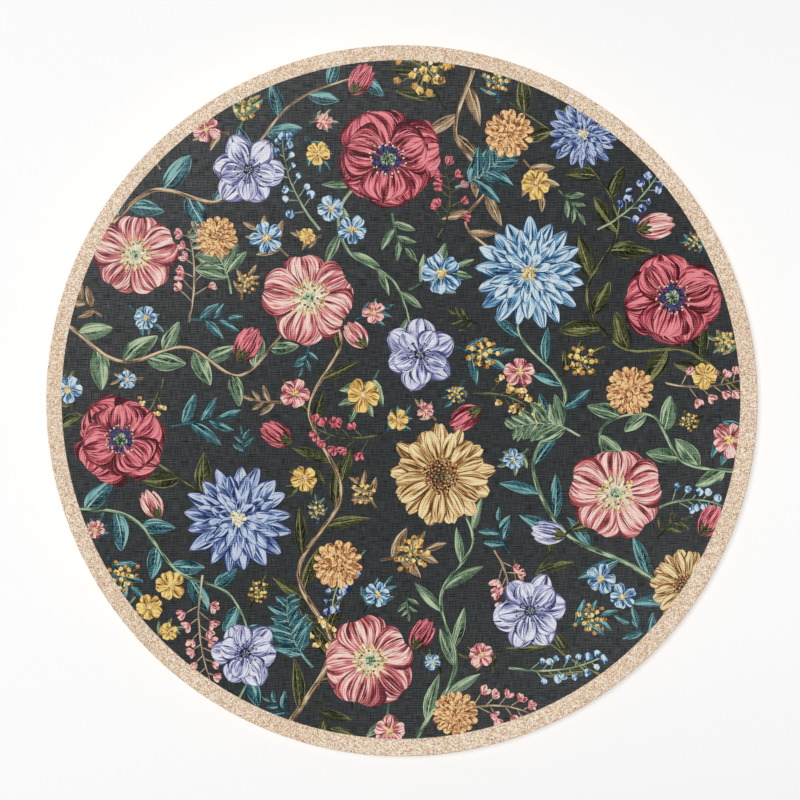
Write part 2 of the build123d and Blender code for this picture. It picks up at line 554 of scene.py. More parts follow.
@dataclass(frozen=True)
class FlowerKind:
    """How one kind of flower is painted: rings of petals, outermost first, then its middle."""

    rows: tuple[PetalRow, ...]
    middle: tuple[Heart | Stamens, ...]

    def draw(self, art: Artwork, centre: Pair, radius: float) -> None:
        """Paints one flower of this kind."""
        place = np.array(centre, float)
        phase = art.rng.uniform(0, tau)
        for row in self.rows:
            row.draw(art, place, radius, phase)
        for part in self.middle:
            part.draw(art, place, radius)


SKY, DENIM, CORAL, OCHRE, LILAC, CRIMSON = map(Tint.of, "SKY DENIM CORAL OCHRE LILAC CRIMSON".split())
ORANGE, YELLOW, TEAL, OLIVE, SAGE, TAN = map(Tint.of, "ORANGE YELLOW TEAL OLIVE SAGE TAN".split())
PALE, BLACK = (Tint(ink, ink, ink) for ink in (Ink.YELLOW_LIGHT, Ink.INDIGO))


def dahlia(tint: Tint, heart: Ink) -> FlowerKind:
    """A full flower of four rings of pointed petals that shorten towards a small heart."""
    outer = BladeShape(belly=1.25, fullness=0.75, ripple=0.05, corners=12)
    inner = BladeShape(belly=1.35, fullness=0.7, ripple=0.05, corners=10)
    return FlowerKind(
        (
            PetalRow(17, 0.2, 1.0, 0.30, outer, tint, (0.0, 0.72), 0.0, 3.2),
            PetalRow(15, 0.16, 0.8, 0.26, outer, tint, (0.0, 0.8), 0.5, 3.0),
            PetalRow(12, 0.1, 0.58, 0.23, inner, tint, (0.05, 0.85), 0.2, 2.6),
            PetalRow(9, 0.05, 0.38, 0.2, inner, tint, (0.1, 0.95), 0.6, 2.4),
        ),
        (Heart(16, 0.0, 0.14, 0.035, heart), Heart(7, 0.0, 0.08, 0.03, Ink.YELLOW_LIGHT)),
    )


def dog_rose(tint: Tint) -> FlowerKind:
    """Five broad notched petals round a pale eye and a crown of stamens."""
    petal = BladeShape(belly=1.65, fullness=0.55, notch=0.1, ripple=0.07, corners=26)
    eye = BladeShape(belly=1.2, fullness=0.8, corners=10)
    return FlowerKind(
        (
            PetalRow(5, 0.04, 1.0, 1.06, petal, tint, (0.72, 0.34), 0.0, 8.5, 6, 0.02, 0.03),
            PetalRow(10, 0.02, 0.4, 0.13, eye, PALE, (0.9, 0.4), 0.25, 2.0),
        ),
        (
            Stamens(24, 0.06, 0.4, Ink.YELLOW_LIGHT, Ink.YELLOW, 0.034, 0.012),
            Stamens(15, 0.04, 0.27, Ink.YELLOW_LIGHT, Ink.OCHRE_SHADE, 0.03, 0.012),
            Heart(12, 0.0, 0.1, 0.04, Ink.SAGE),
        ),
    )


def coneflower(tint: Tint) -> FlowerKind:
    """Long toothed rays round a large seeded cone."""
    ray = BladeShape(belly=1.3, fullness=0.55, teeth=9, tooth_depth=0.02, notch=0.05, ripple=0.05, corners=20)
    return FlowerKind(
        (
            PetalRow(13, 0.2, 1.0, 0.34, ray, tint, (0.05, 0.7), 0.0, 4.0),
            PetalRow(13, 0.2, 0.9, 0.3, ray, tint, (0.1, 0.82), 0.5, 4.0),
        ),
        (
            Heart(50, 0.0, 0.32, 0.046, Ink.CONE, (0.0, 0.7)),
            Heart(64, 0.06, 0.33, 0.023, Ink.CONE_LIGHT),
            Heart(22, 0.27, 0.36, 0.02, Ink.YELLOW),
            Heart(14, 0.0, 0.1, 0.024, Ink.OLIVE),
        ),
    )


def anemone(tint: Tint) -> FlowerKind:
    """Two rings of rounded petals with fine veins round a dark button and a ring of stamens."""
    petal = BladeShape(belly=1.4, fullness=0.6, ripple=0.06, corners=20)
    return FlowerKind(
        (
            PetalRow(6, 0.06, 1.0, 0.78, petal, tint, (0.15, 0.7), 0.0, 6.0, 3, 0.03, 0.05),
            PetalRow(5, 0.05, 0.82, 0.66, petal, tint, (0.3, 0.9), 0.4, 6.0, 3, 0.03, 0.05),
        ),
        (
            Stamens(22, 0.08, 0.36, Ink.INDIGO, Ink.INDIGO, 0.032, 0.012),
            Heart(18, 0.0, 0.14, 0.045, Ink.INDIGO, (0.0, 0.6)),
            Heart(10, 0.0, 0.1, 0.02, Ink.SAGE_LIGHT),
        ),
    )


def poppy(tint: Tint) -> FlowerKind:
    """Two rings of broad crumpled petals, dark at the base, round a green seed head."""
    petal = BladeShape(belly=1.45, fullness=0.5, teeth=11, tooth_depth=0.022, ripple=0.12, corners=30)
    blotch = BladeShape(belly=1.1, fullness=0.8, teeth=5, tooth_depth=0.05, ripple=0.15, corners=12)
    return FlowerKind(
        (
            PetalRow(4, 0.02, 1.0, 1.3, petal, tint, (0.1, 0.62), 0.0, 10.0, 7, 0.016, 0.05),
            PetalRow(3, 0.02, 0.82, 1.12, petal, tint, (0.05, 0.75), 0.3, 9.0, 7, 0.018, 0.05),
            PetalRow(5, 0.02, 0.3, 0.2, blotch, BLACK, (0.0, 0.7), 0.1, 3.0),
        ),
        (
            Stamens(26, 0.12, 0.36, Ink.INDIGO, Ink.YELLOW_LIGHT, 0.022, 0.009),
            Stamens(20, 0.1, 0.28, Ink.INDIGO, Ink.INDIGO, 0.028, 0.009),
            Heart(16, 0.0, 0.12, 0.048, Ink.SAGE),
            Stamens(9, 0.0, 0.13, Ink.OLIVE_SHADE, Ink.OLIVE_SHADE, 0.012, 0.012),
        ),
    )


def pompon(tint: Tint) -> FlowerKind:
    """A ball of short blunt petals in five rings."""
    petal = BladeShape(belly=1.5, fullness=0.55, ripple=0.06, corners=10)
    rings = (
        (15, 0.5, 1.0, 0.0),
        (13, 0.34, 0.82, 0.4),
        (10, 0.2, 0.63, 0.1),
        (8, 0.08, 0.45, 0.6),
        (5, 0.0, 0.27, 0.3),
    )
    rows = (
        PetalRow(count, start, reach, 0.34, petal, tint, (0.0, 0.85), turn, 2.4)
        for count, start, reach, turn in rings
    )
    return FlowerKind(tuple(rows), ())


def primrose(tint: Tint, eye: Ink) -> FlowerKind:
    """A small flower of five notched petals with a bright eye."""
    petal = BladeShape(belly=1.6, fullness=0.5, notch=0.1, ripple=0.05, corners=12)
    return FlowerKind(
        (PetalRow(5, 0.05, 1.0, 0.86, petal, tint, (0.15, 0.75), 0.0, 4.0, 0, 0.05, 0.04),),
        (Heart(6, 0.0, 0.2, 0.11, eye), Heart(3, 0.0, 0.08, 0.06, Ink.YELLOW_LIGHT)),
    )


def mimosa() -> FlowerKind:
    """A tuft of yellow puffs on threads that spread from one point."""
    return FlowerKind(
        (),
        (
            Stamens(9, 0.0, 1.05, Ink.OLIVE, Ink.YELLOW_SHADE, 0.15, 0.03),
            Stamens(7, 0.0, 0.85, Ink.OLIVE_LIGHT, Ink.YELLOW, 0.16, 0.03),
            Heart(5, 0.0, 0.45, 0.15, Ink.YELLOW),
            Heart(4, 0.1, 0.6, 0.07, Ink.YELLOW_LIGHT),
        ),
    )


class Bloom(Enum):
    """The kinds of flower in the print."""

    SKY_DAHLIA = dahlia(SKY, Ink.YELLOW)
    DENIM_DAHLIA = dahlia(DENIM, Ink.YELLOW_LIGHT)
    CORAL_ROSE = dog_rose(CORAL)
    CONEFLOWER = coneflower(OCHRE)
    ANEMONE = anemone(LILAC)
    POPPY = poppy(CRIMSON)
    POMPON = pompon(ORANGE)
    BLUE_PRIMROSE = primrose(SKY, Ink.YELLOW)
    PINK_PRIMROSE = primrose(CORAL, Ink.YELLOW)
    YELLOW_PRIMROSE = primrose(YELLOW, Ink.ORANGE)
    MIMOSA = mimosa()


@dataclass(frozen=True)
class FoliageKind:
    """How a leaf is painted: its width over length, its lean from the stem in degrees, its veins."""

    shape: BladeShape
    tint: Tint
    slimness: float = 0.34
    lean: float = 42.0
    veins: int = 5

    def draw(self, art: Artwork, base: Array, heading: Array, length: Array) -> None:
        """Lays leaves with those bases, headings and lengths."""
        leaves = grow(art, base, heading, length, length * self.slimness, 0.16, self.shape)
        tint = self.tint
        leaves.lay(art, leaves.outline(), tint.body, (0.1, 0.7), 0.12, 3.0)
        leaves.lay(art, self.half(leaves), tint.dark, (0.6, 1.0), 0.12, 3.0)
        leaves.lay(art, self.side_veins(leaves), tint.light, (0.2, 0.5), 0.15)
        leaves.lay(art, self.midrib(leaves), tint.light, (0.6, 0.3))

    def half(self, leaves: Blades) -> Array:
        """The shaded half of each leaf: from its midrib out to 0.93 of its right side."""
        along = np.linspace(0, 1, 8)
        across = np.concatenate([-0.93 * self.shape.half_width(along), np.zeros(3)])
        return leaves.copies(across, np.concatenate([along, [0.75, 0.5, 0.25]]))

    def midrib(self, leaves: Blades) -> Array:
        """The rib up each leaf's middle: it tapers from 0.075 of the half-width to nothing."""
        along = np.array([0.0, 0.32, 0.64, 0.96])
        taper = 0.075 * (1 - along)
        return leaves.copies(np.concatenate([taper, -taper[-2::-1]]), np.concatenate([along, along[-2::-1]]))

    def side_veins(self, leaves: Blades) -> Array:
        """Thin triangles from the midrib towards the edge: each rises 0.16 of the length as it
        crosses 0.8 of the half-width, and is 0.016 of the length wide at the midrib."""
        root = np.linspace(0.14, 0.72, self.veins)
        tip = root + 0.16
        reach = 0.8 * self.shape.half_width(tip)
        zero = np.zeros(self.veins)
        along = columns(root - 0.008, tip, root + 0.008)
        left = columns(zero, reach, zero)
        across = np.concatenate([left, -left]).reshape(-1)
        points = leaves.copies(across, np.concatenate([along, along]).reshape(-1))
        return points.reshape(len(leaves.base) * 2 * self.veins, 3, 2)


LANCE = BladeShape(belly=0.85, fullness=0.9, ripple=0.04, corners=16)
LEAFLET = BladeShape(belly=0.85, fullness=0.8, ripple=0.04, corners=10)
OVAL = BladeShape(belly=0.8, fullness=0.7, ripple=0.05, corners=18)
SERRATE = BladeShape(belly=0.8, fullness=0.8, teeth=13, tooth_depth=0.016, ripple=0.04, corners=34)


class Foliage(Enum):
    """The kinds of leaf in the print."""

    TEAL_LANCE = FoliageKind(LANCE, TEAL, 0.28, 40.0)
    TEAL_OVAL = FoliageKind(OVAL, TEAL, 0.46, 50.0)
    OLIVE_LANCE = FoliageKind(LANCE, OLIVE, 0.25, 34.0)
    OLIVE_SERRATE = FoliageKind(SERRATE, OLIVE, 0.42, 46.0)
    SAGE_OVAL = FoliageKind(OVAL, SAGE, 0.48, 48.0, 4)
    SAGE_LANCE = FoliageKind(LANCE, SAGE, 0.26, 36.0)
    TAN_LANCE = FoliageKind(LANCE, TAN, 0.3, 44.0, 4)


@dataclass
class Course:
    """A smooth line through points on the board, with places and directions along it.

    Between points p1 and p2 it is the Catmull-Rom cubic of p0..p3: half of 2 p1 + (p2 - p0) t +
    (2 p0 - 5 p1 + 4 p2 - p3) t^2 + (3 p1 - p0 - 3 p2 + p3) t^3.
    """

    points: tuple[Pair, ...]
    step: float = 2.5

    def __post_init__(self) -> None:
        """Samples the line at nearly even steps."""
        p = np.array(self.points, float)
        p = np.vstack([2 * p[0] - p[1], p, 2 * p[-1] - p[-2]])
        t = np.linspace(0, 1, 24, endpoint=False)[None, :, None]
        p0, p1, p2, p3 = (p[i : len(p) - 3 + i, None, :] for i in range(4))
        cubic = 2 * p1 + (p2 - p0) * t + (2 * p0 - 5 * p1 + 4 * p2 - p3) * t**2
        cubic = (cubic + (3 * p1 - p0 - 3 * p2 + p3) * t**3) / 2
        line = np.vstack([cubic.reshape(-1, 2), p[-2]])
        run = np.concatenate([[0], np.cumsum(np.linalg.norm(np.diff(line, axis=0), axis=1))])
        self.length = float(run[-1])
        count = max(3, int(self.length / self.step) + 1)
        self.at = np.linspace(0, self.length, count)
        self.line = sampled(self.at, run, line)
        tangent = np.gradient(self.line, axis=0)
        self.heading = np.unwrap(np.arctan2(tangent[:, 1], tangent[:, 0]))

    def where(self, share: Array) -> tuple[Array, Array]:
        """Points and headings at shares of the line's length."""
        at = share * self.length
        return sampled(at, self.at, self.line), np.interp(at, self.at, self.heading)

    def ribbon(self, art: Artwork, ink: Ink, width: Pair, offset: float = 0.0) -> None:
        """Lays a ribbon of four-cornered patches whose edges stand off the line by half the width
        to either side, which tapers evenly, all moved left by offset times the half-width."""
        half = np.linspace(width[0], width[1], len(self.line)) / 2
        left = toward(self.heading)[:, ::-1] * [-1, 1]
        middle = self.line + left * (offset * half)[:, None]
        spread = left * (half * (1 - abs(offset)))[:, None]
        one = middle + spread
        other = middle - spread
        outlines = np.stack([one[:-1], other[:-1], other[1:], one[1:]], axis=1)
        count = len(outlines)
        length = np.diff(self.at)
        place = {"base": middle[:-1], "heading": self.heading[:-1], "length": length, "width": 2 * half[:-1]}
        rows = art.strokes(count, (0.5, 0.5), 0.0, marks=1.2, rate=length / STROKE_RUN, **place)
        rows["shift"] = rows["shift"][0] + columns(np.zeros(count), self.at[:-1] / STROKE_RUN)
        art.lay(outlines, ink, rows)


@dataclass(frozen=True)
class Vine:
    """A stem through points, with leaves in turn on its two sides.

    size and width are the leaves' length and the stem's thickness, at the foot and at the end.
    """

    points: tuple[Pair, ...]
    leaf: Foliage
    leaves: int
    size: Pair = (26.0, 14.0)
    width: Pair = (2.2, 0.9)
    tint: Tint = SAGE
    start: float = 0.06

    def draw(self, art: Artwork) -> Course:
        """Paints the stem and its leaves, and returns its course."""
        course = Course(self.points)
        kind = self.leaf.value
        if self.leaves:
            share = np.linspace(self.start, 0.97, self.leaves) + art.vary(-0.02, 0.02, self.leaves)
            base, heading = course.where(np.clip(share, 0, 1))
            side = (-1.0) ** np.arange(self.leaves)
            lean = radians(kind.lean) * art.vary(0.75, 1.25, self.leaves)
            length = np.interp(share, (0, 1), self.size) * art.vary(0.85, 1.15, self.leaves)
            kind.draw(art, base, heading + side * lean, length)
        course.ribbon(art, self.tint.dark, self.width)
        course.ribbon(art, self.tint.body, self.width, 0.28)
        return course


SprigKind = Enum("SprigKind", "BERRIES BELLS FERN CATKIN")
BERRIES, BELLS, FERN, CATKIN = SprigKind


@dataclass(frozen=True)
class Sprig:
    """A thin curved stem with pairs of short stalks that carry berries, bells or leaflets.

    It starts at the foot with a heading in degrees, and turns by curl over its length.
    """

    foot: Pair
    heading: float
    length: float
    kind: SprigKind
    tint: Tint
    pairs: int = 6
    curl: float = 30.0
    stem: Tint = SAGE
    size: float = 4.5

    def course(self) -> Course:
        """Line of the stem: its heading turns evenly by curl over its length."""
        share = np.linspace(0, 1, 6)
        turn = np.radians(self.heading + self.curl * share)
        step = self.length / 5
        walk = np.cumsum(toward(turn)[:-1] * step, axis=0)
        points = np.vstack([[0, 0], walk]) + np.array(self.foot)
        return Course(tuple(map(tuple, points)), 2.0)

    def draw(self, art: Artwork) -> None:
        """Paints the stem, its stalks and what they carry."""
        course = self.course()
        course.ribbon(art, self.stem.body, (1.3, 0.6))
        count = 2 * self.pairs
        share = np.sort(np.linspace(0.22, 0.98, count) + art.vary(-0.02, 0.02, count))
        base, heading = course.where(np.clip(share, 0, 1))
        side = (-1.0) ** np.arange(count)
        lean = side * np.radians(art.vary(38, 66, count))
        stalk = self.size * np.interp(share, (0.2, 1), (1.9, 0.7)) * art.vary(0.8, 1.2, count)
        away = heading + lean
        tips = base + toward(away) * stalk[:, None]
        stalks = grow(art, base, away, stalk * 1.05, np.full(count, 0.75), 0.1, THREAD)
        stalks.lay(art, stalks.outline(), self.stem.body, (0.4, 0.7))
        if self.kind is BERRIES:
            self.draw_berries(art, np.vstack([tips, course.line[-1:]]))
        elif self.kind is BELLS:
            self.draw_bells(art, tips, away)
        elif self.kind is CATKIN:
            self.draw_catkins(art, tips)
        else:
            leaflets = FoliageKind(LEAFLET, self.tint, 0.4, veins=1)
            leaflets.draw(art, base, away, stalk * 1.9)

    def draw_berries(self, art: Artwork, tips: Array) -> None:
        """Each berry: a dab that darkens to its rim, and a light at its upper left."""
        radius = self.size * 0.5 * art.vary(0.8, 1.2, len(tips))
        blobs(art, tips, radius, self.tint.body, (0.1, 0.8), 9, 0.8)
        glints = tips + radius[:, None] * np.array([-0.28, 0.34])
        blobs(art, glints, radius * 0.28, self.tint.light, (0.6, 1.0))

    def draw_bells(self, art: Artwork, tips: Array, away: Array) -> None:
        """Each bell: three narrow petals that fan out of the stalk's tip."""
        shape = BladeShape(belly=1.5, fullness=0.6, corners=10)
        for fan in (-0.5, 0.5, 0.0):
            count = len(tips)
            heading = away + fan + art.vary(-0.15, 0.15, count)
            length = self.size * art.vary(0.95, 1.35, count)
            bells = grow(art, tips, heading, length, length * 0.56, 0.1, shape)
            bells.lay(art, bells.outline(), self.tint.body, (0.15, 0.85), 0.15, 2.0, 0.8)

    def draw_catkins(self, art: Artwork, tips: Array) -> None:
        """Each tuft: five little dabs in a cluster, two of them light."""
        for ink, spread, share, tone in (
            (self.tint.dark, 0.42, 0.36, (0.2, 0.7)),
            (self.tint.body, 0.4, 0.34, (0.3, 0.9)),
            (self.tint.body, 0.4, 0.3, (0.4, 1.0)),
            (self.tint.light, 0.3, 0.2, (0.4, 0.9)),
        ):
            places = tips + art.vary(-spread, spread, len(tips), 2) * self.size
            blobs(art, places, self.size * share * art.vary(0.8, 1.2, len(tips)), ink, tone)


@dataclass(frozen=True)
class Bud:
    """A closed flower on a calyx: three narrow petals in a fan, and two sepals at their foot."""

    foot: Pair
    heading: float
    length: float
    tint: Tint
    sepal: Tint = OLIVE

    def draw(self, art: Artwork) -> None:
        """Paints the petals from the outside in, then the sepals."""
        shape = BladeShape(belly=0.95, fullness=0.75, ripple=0.06, corners=18)
        for fan, share in ((0.42, 0.88), (-0.42, 0.88), (0.16, 0.98), (-0.1, 1.0)):
            petal = self.blade(fan, share, 0.42, 0.35, shape)
            petal.lay(art, petal.outline(), self.tint.body, (0.1, 0.8), marks=3.5, rim=0.8)
            light = petal.slivers(art, 3, 0.05, (0.25, 0.45), (0.8, 0.96))
            petal.lay(art, light, self.tint.light, (0.3, 0.8), 0.2)
        for fan in (0.5, -0.5, 0.0):
            sepal = self.blade(fan, 0.42, 0.32, 0.2, LANCE)
            sepal.lay(art, sepal.outline(), self.sepal.dark, (0.4, 0.8))
            sepal.lay(art, sepal.outline(0.7), self.sepal.body, (0.3, 0.8))

    def blade(self, fan: float, share: float, slimness: float, curl: float, shape: BladeShape) -> Blades:
        """One petal or sepal, turned by fan from the bud's heading and curled back towards it."""
        foot = np.array([self.foot], float)
        heading = np.array([radians(self.heading) + fan])
        length = np.array([self.length * share])
        return Blades(foot, heading, length, length * slimness, np.array([-fan * curl]), np.zeros(1), shape)


@dataclass(frozen=True)
class Filling:
    """Small sprays, tufts and blossoms where the print would be bare, painted below the rest.

    Attributes:
        rim: how far inside the cloth's rim gaps are looked for.
        tries: places looked at.
        least: clearance round the narrowest gap that is filled.
        reach: size of a filling over the clearance round it.
        tints: inks of the leaves, in turn.
        blossoms: what stands on the leaves, in turn.
    """

    rim: float = 2.7
    tries: int = 4000
    least: float = 6.8
    reach: float = 1.12
    tints: tuple[Tint, ...] = (OLIVE, SAGE, TEAL, TAN, TEAL)
    blossoms: tuple[Bloom | None, ...] = (
        Bloom.MIMOSA, Bloom.BLUE_PRIMROSE, None, Bloom.MIMOSA, Bloom.PINK_PRIMROSE, None,
        Bloom.YELLOW_PRIMROSE,
    )

    def gaps(self, art: Artwork, solid: Array, disc: Disc) -> list[tuple[Array, float]]:
        """Finds gaps one by one, the widest first, each clear of those before it.

        Args:
            art: the print so far.
            solid: rows of x, z and radius of the flowers, which have no gaps inside.
            disc: the cloth.

        Returns:
            The place and clearance of each gap.
        """
        corners = np.vstack([patches.outlines.reshape(-1, 2) for patches in art.layers])
        corners = np.unique(np.round(corners / 2), axis=0) * 2
        places = spread_disc(np.array(disc.centre), self.tries, 0.0, disc.radius - self.rim, 0.0)
        room = np.array([np.linalg.norm(corners - place, axis=1).min() for place in places])
        inside = np.linalg.norm(places[:, None, :] - solid[None, :, :2], axis=-1) - solid[:, 2]
        room = np.minimum(room, inside.min(axis=1))
        found = []
        while room.max() > self.least:
            widest = int(room.argmax())
            found.append((places[widest], float(room[widest])))
            away = np.linalg.norm(places - places[widest], axis=1) - room[widest]
            room = np.minimum(room, away)
        return found

    def draw(self, art: Artwork, solid: Array, disc: Disc) -> None:
        """Paints a spray of leaves in each gap, most with a blossom on it, and puts them below."""
        below = Artwork(art.seed + 1)
        for number, (place, clearance) in enumerate(self.gaps(art, solid, disc)):
            size = clearance * self.reach
            leaf = FoliageKind(LEAFLET, self.tints[number % len(self.tints)], 0.34, veins=2)
            self.spray(below, place, size, leaf)
            blossom = self.blossoms[number % len(self.blossoms)]
            if blossom:
                blossom.value.draw(below, place, size * 0.62)
        art.layers[:0] = below.layers

    def spray(self, art: Artwork, place: Array, size: float, kind: FoliageKind) -> None:
        """A stem across the gap, with a leaf at its tip and two on either side."""
        away = toward(art.rng.uniform(0, tau))
        aside = np.array([-away[1], away[0]]) * size * art.rng.uniform(-0.2, 0.2)
        points = (place - away * size, place + aside, place + away * size * 0.5)
        course = Course(tuple(map(tuple, points)))
        base, along = course.where(np.array([0.25, 0.4, 0.6, 0.75, 0.95]))
        fan = np.radians([52, -50, 46, -44, 0]) + art.vary(-0.15, 0.15, 5)
        length = size * np.array([0.95, 1.0, 0.85, 0.8, 0.7]) * art.vary(0.85, 1.1, 5)
        kind.draw(art, base, along + fan, length)
        course.ribbon(art, kind.tint.dark, (1.6, 0.8))


@dataclass(frozen=True)
class FloralPrint:
    """The cloth's flower print: vines, sprigs and buds, then blooms by kind at each x, z and radius."""

    vines: tuple[Vine, ...] = (
        Vine(((-66, -186), (-40, -140), (-58, -96), (-34, -52), (-52, -6), (-34, 34), (-52, 58)),
             Foliage.OLIVE_LANCE, 17, (30, 20), (3.2, 1.4), TAN),
        Vine(((164, -116), (128, -92), (92, -74), (74, -36), (92, 4), (66, 38), (72, 70)),
             Foliage.TEAL_LANCE, 15, (28, 18), (3.0, 1.4), SAGE),
        Vine(((-190, 44), (-158, 22), (-122, 30), (-92, 14), (-70, 34), (-54, 56)),
             Foliage.SAGE_OVAL, 12, (24, 16), (2.4, 1.2), TAN),
        Vine(((190, 6), (160, 28), (124, 30), (104, 60), (122, 100), (98, 140), (60, 168)),
             Foliage.OLIVE_SERRATE, 14, (26, 18), (2.6, 1.2), OLIVE),
        Vine(((-8, 138), (-34, 110), (-30, 84), (-4, 66), (8, 30)),
             Foliage.SAGE_LANCE, 9, (24, 15), (2.2, 1.2), SAGE),
        Vine(((8, -190), (30, -150), (22, -110), (40, -78), (22, -42)),
             Foliage.SAGE_LANCE, 10, (28, 18), (2.6, 1.4), SAGE),
        Vine(((-188, -60), (-152, -66), (-126, -96), (-96, -110), (-84, -146), (-96, -176)),
             Foliage.TEAL_OVAL, 12, (22, 16), (2.4, 1.1), SAGE),
        Vine(((116, -156), (88, -140), (70, -118), (84, -84), (118, -52)),
             Foliage.OLIVE_LANCE, 10, (26, 18), (2.4, 1.2), OLIVE),
        Vine(((-170, 92), (-140, 118), (-104, 112), (-88, 134), (-60, 168), (-20, 184)),
             Foliage.TEAL_OVAL, 12, (24, 16), (2.6, 1.1), TAN),
        Vine(((40, 186), (30, 150), (48, 122), (36, 98), (70, 72)),
             Foliage.TAN_LANCE, 9, (24, 16), (2.4, 1.3), TAN),
        Vine(((190, -40), (158, -34), (140, -8), (112, -16), (118, -50)),
             Foliage.SAGE_OVAL, 9, (20, 15), (2.2, 1.1), SAGE),
        Vine(((-92, -66), (-130, -40), (-160, -18), (-184, -6)),
             Foliage.OLIVE_SERRATE, 7, (24, 18), (2.2, 1.2), OLIVE),
    )
    sprigs: tuple[Sprig, ...] = (
        Sprig((-46, 96), 128, 58, BERRIES, SKY, 7, -40),
        Sprig((-120, 44), 78, 52, BELLS, CORAL, 6, 30, TAN),
        Sprig((110, 96), 30, 56, BERRIES, DENIM, 7, 40),
        Sprig((40, 4), 2, 46, CATKIN, YELLOW, 8, -60, OLIVE),
        Sprig((-10, -18), 196, 40, BELLS, CRIMSON, 5, -50, OLIVE),
        Sprig((60, -150), -8, 54, BERRIES, SKY, 7, 36),
        Sprig((-112, -98), 262, 60, BELLS, CORAL, 7, 30, TAN),
        Sprig((140, -92), -60, 54, CATKIN, YELLOW, 8, 50, OLIVE),
        Sprig((-60, -110), -60, 52, CATKIN, YELLOW, 8, 40, OLIVE),
        Sprig((104, 142), 84, 44, CATKIN, YELLOW, 7, -30, OLIVE),
        Sprig((-150, -110), 236, 42, BERRIES, SKY, 6, 40),
        Sprig((148, 10), 350, 42, BELLS, CORAL, 5, 30, TAN),
        Sprig((-136, 130), 118, 46, BERRIES, CORAL, 6, -30, TAN),
        Sprig((20, 92), 60, 40, BELLS, CRIMSON, 5, 60, OLIVE),
        Sprig((-134, 12), 250, 44, CATKIN, YELLOW, 7, -40, OLIVE),
        Sprig((52, -84), 300, 34, BELLS, CORAL, 5, -40, TAN),
        Sprig((-20, -84), 220, 40, BERRIES, DENIM, 6, 50),
        Sprig((30, -176), 20, 44, BELLS, CORAL, 5, -50, TAN),
        Sprig((144, -60), 20, 40, BERRIES, SKY, 6, -50),
        Sprig((-96, 60), 100, 42, FERN, SAGE, 8, 50, SAGE, 5.0),
        Sprig((30, 120), 20, 44, FERN, TEAL, 9, 60, TEAL, 5.0),
        Sprig((-50, -150), 130, 44, FERN, TEAL, 9, -50, TEAL, 5.0),
        Sprig((100, -20), 150, 40, FERN, SAGE, 8, 60, SAGE, 5.0),
    )
    buds: tuple[Bud, ...] = (
        Bud((-92, 22), 62, 22, CRIMSON),
        Bud((44, -4), 214, 20, CRIMSON),
        Bud((132, 96), 12, 22, CORAL),
        Bud((-20, 30), 130, 18, CORAL),
        Bud((-62, -24), 150, 20, CRIMSON),
        Bud((92, -76), 170, 20, LILAC),
        Bud((6, -140), 60, 20, CRIMSON),
        Bud((-136, -66), 120, 18, CORAL),
        Bud((-28, 172), 60, 20, CRIMSON),
        Bud((168, -76), 60, 20, CRIMSON),
    )
    blooms: tuple[tuple[Bloom, tuple[tuple[float, float, float], ...]], ...] = (
        (Bloom.SKY_DAHLIA, ((72, 72, 32),)),
        (Bloom.DENIM_DAHLIA, ((-92, -66, 31),)),
        (Bloom.CORAL_ROSE, ((-52, 58, 27), (120, -52, 27), (-18, -146, 26), (-150, 82, 25))),
        (Bloom.CONEFLOWER, ((22, -42, 30),)),
        (Bloom.POPPY, ((-8, 136, 29), (152, 58, 27), (-158, -22, 26))),
        (Bloom.ANEMONE, ((10, 26, 20), (72, -118, 22), (-86, 130, 21), (-88, -142, 19))),
        (Bloom.DENIM_DAHLIA, ((102, 150, 20),)),
        (Bloom.CONEFLOWER, ((160, -104, 22),)),
        (Bloom.POMPON, ((60, 150, 14), (-36, -92, 14), (128, 6, 14), (-104, 92, 12), (30, -176, 13))),
        (Bloom.BLUE_PRIMROSE, ((-28, 96, 9), (-40, 108, 8))),
        (Bloom.YELLOW_PRIMROSE, ((-130, -104, 9), (-142, -116, 8))),
        (Bloom.PINK_PRIMROSE, ((66, 16, 9),)),
        (Bloom.BLUE_PRIMROSE, ((112, -100, 9), (124, -110, 8))),
        (Bloom.YELLOW_PRIMROSE, ((170, 14, 8),)),
        (Bloom.PINK_PRIMROSE, ((-60, 4, 9),)),
    )
    filling: Filling = Filling()

    def draw(self, art: Artwork, disc: Disc) -> None:
        """Paints the whole print on a cloth, from the bottom up."""
        for group in (self.vines, self.sprigs, self.buds):
            for motif in group:
                motif.draw(art)
        for bloom, places in self.blooms:
            for x, z, radius in places:
                bloom.value.draw(art, (x, z), radius)
        self.filling.draw(art, np.vstack([places for _, places in self.blooms]), disc)


def turned_area(outline: Array) -> float:
    """Twice an outline's area, the sum of x1 * z2 - z1 * x2: positive where it runs anticlockwise."""
    x, z = outline.T
    return float((x * np.roll(z, -1) - z * np.roll(x, -1)).sum())


